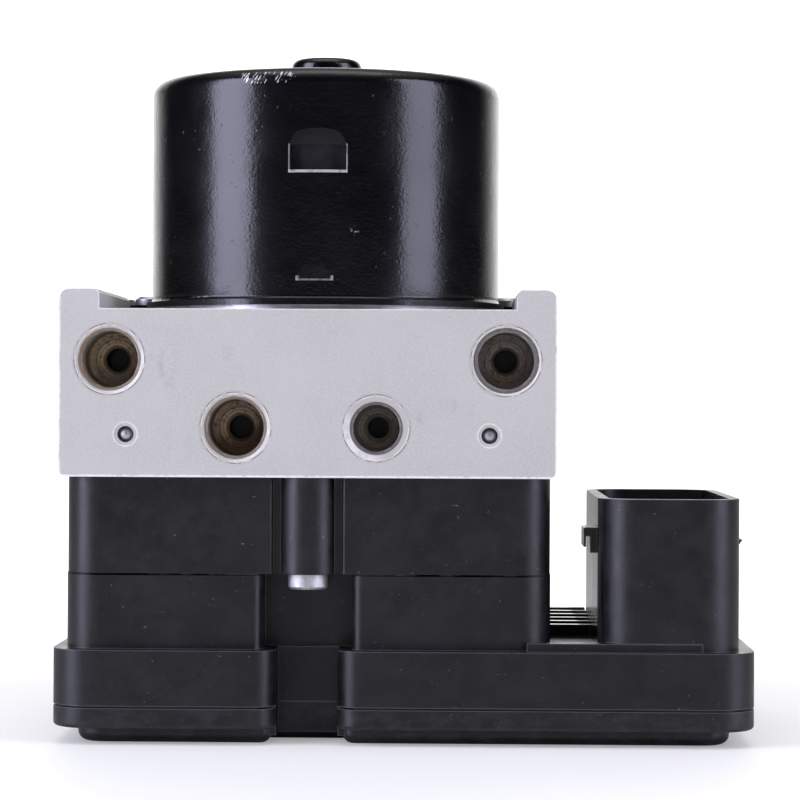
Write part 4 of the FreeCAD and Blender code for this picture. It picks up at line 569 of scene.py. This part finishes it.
# The seam is painted black with its specular turned down, a painted shade in the gap.
seam_shade = nylon.both(
    nylon.span(nylon.axes["Z"], -0.25, 0.05, seam_z),
    nylon.ramp(nylon.noise(6, 3), 0.3, 0.6, 0.6, 1.0),
    nylon.before(nylon.axes["X"], BODY_SIDE, 0.5),
)
black = nylon.blend(seam_shade, black, (0.0005, 0.0005, 0.0005))
left_wall = nylon.both(
    nylon.ramp(nylon.facing["X"], -0.8, -0.95),
    nylon.ramp(nylon.axes["X"], SOCKET_SIDE - 2 * MM, SOCKET_SIDE),
)
rib_tops = nylon.both(
    nylon.ramp(nylon.facing["Z"], 0.8, 0.95),
    nylon.before(nylon.axes["X"], SOCKET_SIDE),
    nylon.ramp(nylon.axes["X"], BODY_SIDE - 1 * MM, BODY_SIDE),
    nylon.ramp(nylon.axes["Z"], RIB_TOP, RIB_TOP + 0.3 * MM),
)
drag = nylon.ramp(nylon.noise(0.7, 4, 0.6, nylon.stretched(1, 1, 0.03)), 0.4, 0.62)
# The drag lines on the socket's side wall are painted lighter: partly real marks, partly a painted
# reflection.
drag_lines_and_sheen = nylon.both(left_wall, drag, 0.5)
smooth_rough = nylon.sum("MULTIPLY_ADD", drag, -0.08, 0.20)
sparked_rough = nylon.ramp(nylon.noise(3.5, 5, 0.65), 0.3, 0.7, 0.33, 0.46)
smooth = nylon.either(left_wall, rib_tops)
dress(
    nylon.wear(
        Base_Color=nylon.blend(drag_lines_and_sheen, black, (0.10, 0.10, 0.105)),
        Roughness=nylon.node("Mix", {0: smooth, 2: sparked_rough, 3: smooth_rough}).outputs[0],
        Specular_IOR_Level=nylon.sum("MULTIPLY_ADD", seam_shade, -0.52, 0.52),
        Normal=nylon.bump(spark, 0.02),
    ),
    "coil_housing",
    "board_housing",
    "board_cover",
)
print("nylon nodes:", len(nylon.tree.nodes))

# %% [markdown]
# ## Metals inside and out
# The turned, ground, zinc-plated and wound parts are all metal, and differ in colour, in how rough
# they are, and in the scale and direction of their marks. One function makes them all, and each
# call gives the marks that the process leaves: rings across the axis from a lathe, or a cloudy
# crystal bloom from plating. The screws from below have the brightest zinc.

# %% A maker of metals
def metal_finish(name, dark, light, rough, grain=(1, 1, 1), marks=0.8, bloom=6.0, depth=0.004):
    """A bare metal between two colours, with marks of a size in millimetres along its grain."""
    finish = Finish(name)
    lines = finish.noise(marks, 3, 0.6, finish.stretched(*grain))
    cloud = finish.noise(bloom, 5)
    colour = finish.blend(finish.ramp(cloud, 0.3, 0.7), dark, light)
    # Sharp edges are painted lighter, a painted highlight.
    colour = finish.blend(finish.both(finish.edges(0.2), 0.4), colour, shade(light, 1.25))
    return finish.wear(
        Base_Color=colour,
        Metallic=1.0,
        Roughness=finish.sum("MULTIPLY_ADD", lines, 0.16, rough - 0.08),
        Normal=finish.bump(lines, depth),
    )


print("helper:", metal_finish.__name__)

# %% The metals
# Each metal: its two colours, its roughness, its marks, and the nodes that wear it.
METALS = (
    (
        "ground_steel", (0.50, 0.50, 0.51), (0.62, 0.62, 0.64), 0.24,
        {"grain": (0.2, 0.2, 2), "marks": 0.5},
        "front_bearing_outer_ring", "front_bearing_inner_ring", "front_bearing_balls",
        "eccentric_bearing", "armature_shaft", "pump_piston_left", "pump_piston_right",
    ),
    (
        "turned_steel", (0.42, 0.42, 0.43), (0.56, 0.56, 0.57), 0.32,
        {"grain": (0.2, 0.2, 3), "marks": 0.6},
        "inlet_valves", "outlet_valves", "pump_sleeve_left", "pump_sleeve_right",
        "pump_outlet_valve_left", "pump_outlet_valve_right", "pump_plug_left", "pump_plug_right",
        "accumulator_piston_left", "accumulator_piston_right",
    ),
    (
        "plated_zinc", (0.50, 0.51, 0.52), (0.68, 0.69, 0.70), 0.36,
        {"bloom": 2.5},
        "motor_screws", "motor_end_plate", "accumulator_caps", "coil_yokes", "capacitors",
    ),
    (
        "spring_wire", (0.22, 0.225, 0.235), (0.33, 0.34, 0.35), 0.34,
        {},
        "accumulator_spring_left", "accumulator_spring_right",
        "brush_spring_left", "brush_spring_right", "pump_spring_left", "pump_spring_right",
    ),
    (
        "stacked_laminations", (0.13, 0.13, 0.14), (0.24, 0.24, 0.25), 0.42,
        {"grain": (0.1, 0.1, 4), "marks": 0.7, "depth": 0.03},
        "armature_core",
    ),
    (
        "pressed_ferrite", (0.028, 0.028, 0.032), (0.055, 0.055, 0.06), 0.6,
        {"marks": 0.5, "depth": 0.01},
        "motor_magnets",
    ),
    (
        "wound_copper", (0.52, 0.21, 0.10), (0.74, 0.36, 0.19), 0.3,
        {"grain": (1, 1, 3.5), "marks": 0.55, "depth": 0.05},
        "armature_windings", "solenoid_coils", "commutator", "motor_leads",
    ),
    (
        "tinned_brass", (0.55, 0.47, 0.30), (0.72, 0.63, 0.42), 0.28,
        {"grain": (3, 3, 0.1), "marks": 0.3},
        "socket_pins",
    ),
    (
        "sintered_bronze", (0.36, 0.22, 0.10), (0.52, 0.34, 0.17), 0.46,
        {"marks": 0.3, "depth": 0.012},
        "rear_bush",
    ),
    (
        "pressed_carbon", (0.03, 0.03, 0.032), (0.07, 0.065, 0.06), 0.5,
        {"marks": 0.3, "depth": 0.008},
        "brushes",
    ),
    (
        "peened_steel", (0.42, 0.42, 0.42), (0.60, 0.60, 0.59), 0.5,
        {"marks": 0.5, "depth": 0.02},
        "sealing_balls",
    ),
    (
        "bright_zinc", (0.62, 0.62, 0.63), (0.84, 0.84, 0.85), 0.58,
        {"bloom": 1.2},
        "unit_screws",
    ),
)
for name, dark, light, rough, marks, *wearers in METALS:
    dress(metal_finish(name, dark, light, rough, **marks), *wearers)
print("metals:", len(METALS))

# %% [markdown]
# ## Plastics, rubber and the board
# The inner mouldings are pale, the seals are dark rubber with a faint bloom, and the circuit board
# has a green lacquer over a woven glass base. Each is a blend of two tones with a fine texture of
# its own.

# %% A maker of plain mouldings
def moulded_finish(name, dark, light, rough, texture=0.3, cloud=8.0, depth=0.01):
    """A plastic, rubber or lacquer between two colours, with a texture of a size in millimetres."""
    finish = Finish(name)
    grain = finish.noise(texture, 3)
    tone = finish.noise(cloud, 4)
    colour = finish.blend(finish.ramp(tone, 0.3, 0.7), dark, light)
    # Sharp edges are painted lighter, a painted highlight.
    colour = finish.blend(finish.both(finish.edges(0.25), 0.3), colour, shade(light, 1.5))
    return finish.wear(
        Base_Color=colour,
        Roughness=finish.sum("MULTIPLY_ADD", grain, 0.12, rough - 0.06),
        Normal=finish.bump(grain, depth),
    )


print("helper:", moulded_finish.__name__)

# %% The mouldings
# Each moulding: its two colours, its roughness, its texture, and the nodes that wear it.
MOULDINGS = (
    (
        "natural_nylon", (0.55, 0.52, 0.42), (0.66, 0.63, 0.54), 0.45,
        {},
        "brush_card", "motor_lead_guide",
    ),
    (
        "seal_rubber", (0.010, 0.010, 0.011), (0.022, 0.022, 0.022), 0.62,
        {"texture": 0.2},
        "motor_seal_ring", "accumulator_seal_left", "accumulator_seal_right",
    ),
    (
        "board_lacquer", (0.012, 0.085, 0.035), (0.02, 0.13, 0.055), 0.3,
        {"texture": 0.6},
        "circuit_board",
    ),
    (
        "chip_epoxy", (0.012, 0.012, 0.013), (0.024, 0.024, 0.026), 0.5,
        {"texture": 0.15, "cloud": 3.0},
        "board_chips",
    ),
)
for name, dark, light, rough, texture, *wearers in MOULDINGS:
    dress(moulded_finish(name, dark, light, rough, **texture), *wearers)
bare_nodes = [name for name, node in frame["nodes"].items() if not node.data.materials]
print("nodes still without a finish:", bare_nodes)

# %% [markdown]
# ## Geometry Nodes for what repeats
# A thread repeats one small shape. Geometry Nodes make it from a few named sizes. The tree runs
# once, its result becomes a plain mesh, and the modifier goes away, because the exported model
# keeps only plain meshes.

# %% A builder for patterns
class Pattern(Tree):
    """A Geometry Nodes tree with named sizes, run once to give a plain mesh."""

    def __init__(self, name):
        self.name = name
        super().__init__(bpy.data.node_groups.new(name, "GeometryNodeTree"), "GeometryNode")
        self.socket("Geometry", "OUTPUT", "NodeSocketGeometry")
        self.sizes = self.tree.nodes.new("NodeGroupInput")
        self.values = {}

    def socket(self, name, in_out, kind):
        """Add a socket to the tree's interface."""
        return self.tree.interface.new_socket(name, in_out=in_out, socket_type=kind)

    def size(self, name, value):
        """Add a named input and return the socket that gives it."""
        kinds = {float: "NodeSocketFloat", Vector: "NodeSocketVector"}
        self.values[self.socket(name, "INPUT", kinds[type(value)]).identifier] = value
        return self.sizes.outputs[name]

    def run(self, geometry, material, body, slot):
        """Finish the tree, evaluate it, and leave a plain mesh that rides on a body."""
        real = self.node("RealizeInstances", {"Geometry": geometry}).outputs[0]
        painted = self.node("SetMaterial", {"Geometry": real, "Material": material}).outputs[0]
        output = self.tree.nodes.new("NodeGroupOutput")
        self.tree.links.new(painted, output.inputs[0])
        empty = bpy.data.meshes.new(self.name + "_carrier")
        carrier = bpy.data.objects.new(self.name + "_carrier", empty)
        bpy.context.scene.collection.objects.link(carrier)
        modifier = carrier.modifiers.new(self.name, "NODES")
        modifier.node_group = self.tree
        for identifier, value in self.values.items():
            modifier[identifier] = value
        graph = bpy.context.evaluated_depsgraph_get()
        mesh = bpy.data.meshes.new_from_object(carrier.evaluated_get(graph))
        bpy.data.objects.remove(carrier)
        piece = bpy.data.objects.new(self.name, mesh)
        bpy.context.scene.collection.objects.link(piece)
        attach(piece, body)
        print(self.name, "has", len(mesh.polygons), "faces")
        return piece


print("builder:", Pattern.__name__)

# %% [markdown]
# ## Threads in the holes
# The solids stop at the thread's full diameter. The thread itself is one ridge that winds inwards,
# so a spiral carries a small diamond section along the hole. Half of the diamond lies in the wall,
# and the other half stands in the hole as a ridge. The thread wears the finish of the block, so
# the stains and the painted light and shade of the ports run over it.

# %% Wind a thread into a hole
PITCH = 1 * MM
RIDGE_SHARE = 0.3
SIDES_PER_TURN = 28


def thread(name, centre, axis, radius, pitch, length):
    """A ridge wound along the inside of a hole, from a point near its bottom to its mouth."""
    work = Pattern(name)
    turns = work.size("Turns", length / pitch)
    wide = work.size("Radius", radius)
    tall = work.size("Length", length)
    ridge = work.size("Ridge", pitch * RIDGE_SHARE)
    start = work.size("Start", Vector(centre))
    turn = work.size("Turn", Vector(Vector((0, 0, 1)).rotation_difference(axis).to_euler()))
    winding = {
        "Resolution": SIDES_PER_TURN,
        "Rotations": turns,
        "Start Radius": wide,
        "End Radius": wide,
        "Height": tall,
    }
    spiral = work.node("CurveSpiral", winding).outputs[0]
    upright = work.node("SetCurveNormal", {"Curve": spiral}, mode="Z_UP").outputs[0]
    diamond = work.node("CurvePrimitiveCircle", {"Resolution": 4, "Radius": ridge}).outputs[0]
    sweep = {"Curve": upright, "Profile Curve": diamond, "Fill Caps": True}
    wound = work.node("CurveToMesh", sweep).outputs[0]
    placing = {"Geometry": wound, "Translation": start, "Rotation": turn}
    placed = work.node("Transform", placing).outputs[0]
    return work.run(placed, alloy.material, "housing", "block_alloy")


# The thread stops half of this short of each end of its hole.
CLEAR_ENDS = 1.2 * MM
for name, mount in mounts.items():
    if mount["kind"] == "threaded_hole":
        axis = Vector(mount["axis"])
        length = mount["dims"]["length_mm"] * MM - CLEAR_ENDS
        bottom = Vector(mount["pos_m"]) - axis * length / 2
        thread(f"thread_in_{name}", bottom, axis, mount["dims"]["r_mm"] * MM, PITCH, length)

# %% [markdown]
# ## The accumulator springs
# Each accumulator spring stands between its cap and its piston, and a rigid solid can't follow
# both. A copy of the coil, with a mesh of its own, stands for it and rides on the housing.

# %% Accumulator springs
for side in ("left", "right"):
    solid = frame["nodes"][f"accumulator_spring_{side}"]
    coil = bpy.data.objects.new(f"accumulator_coil_{side}", solid.data.copy())
    bpy.context.scene.collection.objects.link(coil)
    coil.matrix_world = solid.matrix_world.copy()
    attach(coil, "housing")
    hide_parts(f"accumulator_spring_{side}")
    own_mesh(coil)

# %% [markdown]
# ## Floor, sky and light
# The studio is a light tent that is open to the front. The sky behind the module is white and the
# sky in front is nearly black, so the enamel stays deep black in the middle and its edges turn
# white. Two tall soft boxes stand a little in front of the module, and give the can its two long
# upright reflections. A third lamp hangs above it. A fourth in front fills the ports and the matt
# faces, and is kept out of reflections. The camera sees the sky as paper white, and the floor
# keeps the shadow.

# %% Floor
def studio_white(name, level):
    """A white that takes shadows and glows to the camera, weakest at the module's foot."""
    finish = Finish(name)
    tone = finish.noise(400, 2)
    away = finish.node("VectorMath", {0: finish.place}, operation="LENGTH").outputs["Value"]
    near_level = finish.ramp(away, 0.09, 0.35, level, 0.9)
    level = finish.sum("ADD", near_level, finish.ramp(away, 0.5, 2.0, 0.0, 0.3))
    finish.wear(
        Base_Color=finish.blend(tone, (0.80, 0.80, 0.77), (0.83, 0.83, 0.80)),
        Roughness=0.6,
        Specular_IOR_Level=0.3,
    )
    strength = finish.both(finish.node("LightPath").outputs["Is Camera Ray"], level)
    glow = finish.node("Emission", {"Color": (0.985, 0.98, 1.0, 1.0), "Strength": strength})
    lit_and_glowing = finish.node("AddShader", {0: finish.shader.outputs[0], 1: glow.outputs[0]})
    finish.give(finish.output.inputs["Surface"], lit_and_glowing.outputs[0])
    return finish.material


FLOOR_HALF = 40
FLOOR_GAP = 0.02 * MM
floor_z = start_box[0][2] - FLOOR_GAP
corners = [
    (right * FLOOR_HALF, back * FLOOR_HALF, floor_z)
    for right, back in ((-1, -1), (1, -1), (1, 1), (-1, 1))
]
floor_mesh = bpy.data.meshes.new("floor")
floor_mesh.from_pydata(corners, [], [(0, 1, 2, 3)])
floor_mesh.materials.append(studio_white("floor_white", 0.28))
floor = bpy.data.objects.new("floor", floor_mesh)
bpy.context.scene.collection.objects.link(floor)
print("floor at", round(floor_z / MM, 2), "mm")

# %% Sky
world = bpy.data.worlds.new("studio")
world.use_nodes = True
sky = Tree(world.node_tree, "ShaderNode")
direction = sky.node("SeparateXYZ", {0: sky.node("TexCoord").outputs["Generated"]}).outputs
behind = sky.ramp(direction["Y"], 0.6, 1.0, 0.01, 2.0)
overhead = sky.ramp(direction["Z"], 0.6, 1.0, 0.0, 0.7)
seen = sky.node("LightPath").outputs["Is Camera Ray"]
strength = sky.either(behind, overhead, seen)
paper = sky.node("Background", {"Color": (1, 1, 1), "Strength": strength})
sky.node("OutputWorld", {"Surface": paper.outputs[0]})
bpy.context.scene.world = world
print("sky nodes:", len(sky.tree.nodes))

# %% Lights
CAN_MIDDLE = 95 * MM


def soft_box(name, bearing, height, away, wide, tall, radiance, colour):
    """A rectangular lamp at a bearing in degrees from the front, facing the middle of the can."""
    middle = Vector((motor_x, 0, CAN_MIDDLE))
    angle = math.radians(bearing)
    place = Vector((motor_x + away * math.sin(angle), -away * math.cos(angle), height))
    lamp = bpy.data.lights.new(name, "AREA")
    lamp.shape = "RECTANGLE"
    lamp.size = wide
    lamp.size_y = tall
    lamp.color = colour
    lamp.energy = radiance * math.pi * wide * tall
    holder = bpy.data.objects.new(name, lamp)
    bpy.context.scene.collection.objects.link(holder)
    holder.location = place
    holder.rotation_euler = (middle - place).to_track_quat("-Z", "Y").to_euler()
    return holder


COOL = (0.76, 0.76, 1.0)
# Each lamp: its bearing in degrees, height, distance, two sides, radiance and colour.
LAMPS = {
    "left_box": (-61, 0.30, 0.9, 0.46, 0.85, 7.6, COOL),
    "right_box": (66, 0.30, 0.9, 0.42, 0.85, 5.2, COOL),
    "top_box": (0, 1.1, 0.12, 0.9, 0.5, 1.6, (0.98, 0.97, 1.0)),
    "front_fill": (3, 0.16, 1.2, 0.7, 0.5, 2.6, (1.0, 0.98, 0.95)),
}
lamps = {name: soft_box(name, *setting) for name, setting in LAMPS.items()}
lamps["front_fill"].visible_glossy = False
print("lamps:", list(lamps))

# %% [markdown]
# ## Camera
# The camera stands square to the front, a little right of the block and at half its height, with a
# long lens, so that only a sliver of the plug socket's left wall shows.

# %% Camera
ROLL = math.radians(-0.28)
TURN = math.radians(1.19)
lens = bpy.data.cameras.new("camera")
lens.lens = 129.8
lens.sensor_width = 36
camera = bpy.data.objects.new("camera", lens)
bpy.context.scene.collection.objects.link(camera)
camera.location = (0.0307, -0.627, 0.06964)
camera.rotation_euler = (math.radians(90), ROLL, TURN)
bpy.context.scene.camera = camera
bpy.context.scene.view_settings.view_transform = "Standard"
print("camera", round(-camera.location.y / MM), "mm in front of the middle")
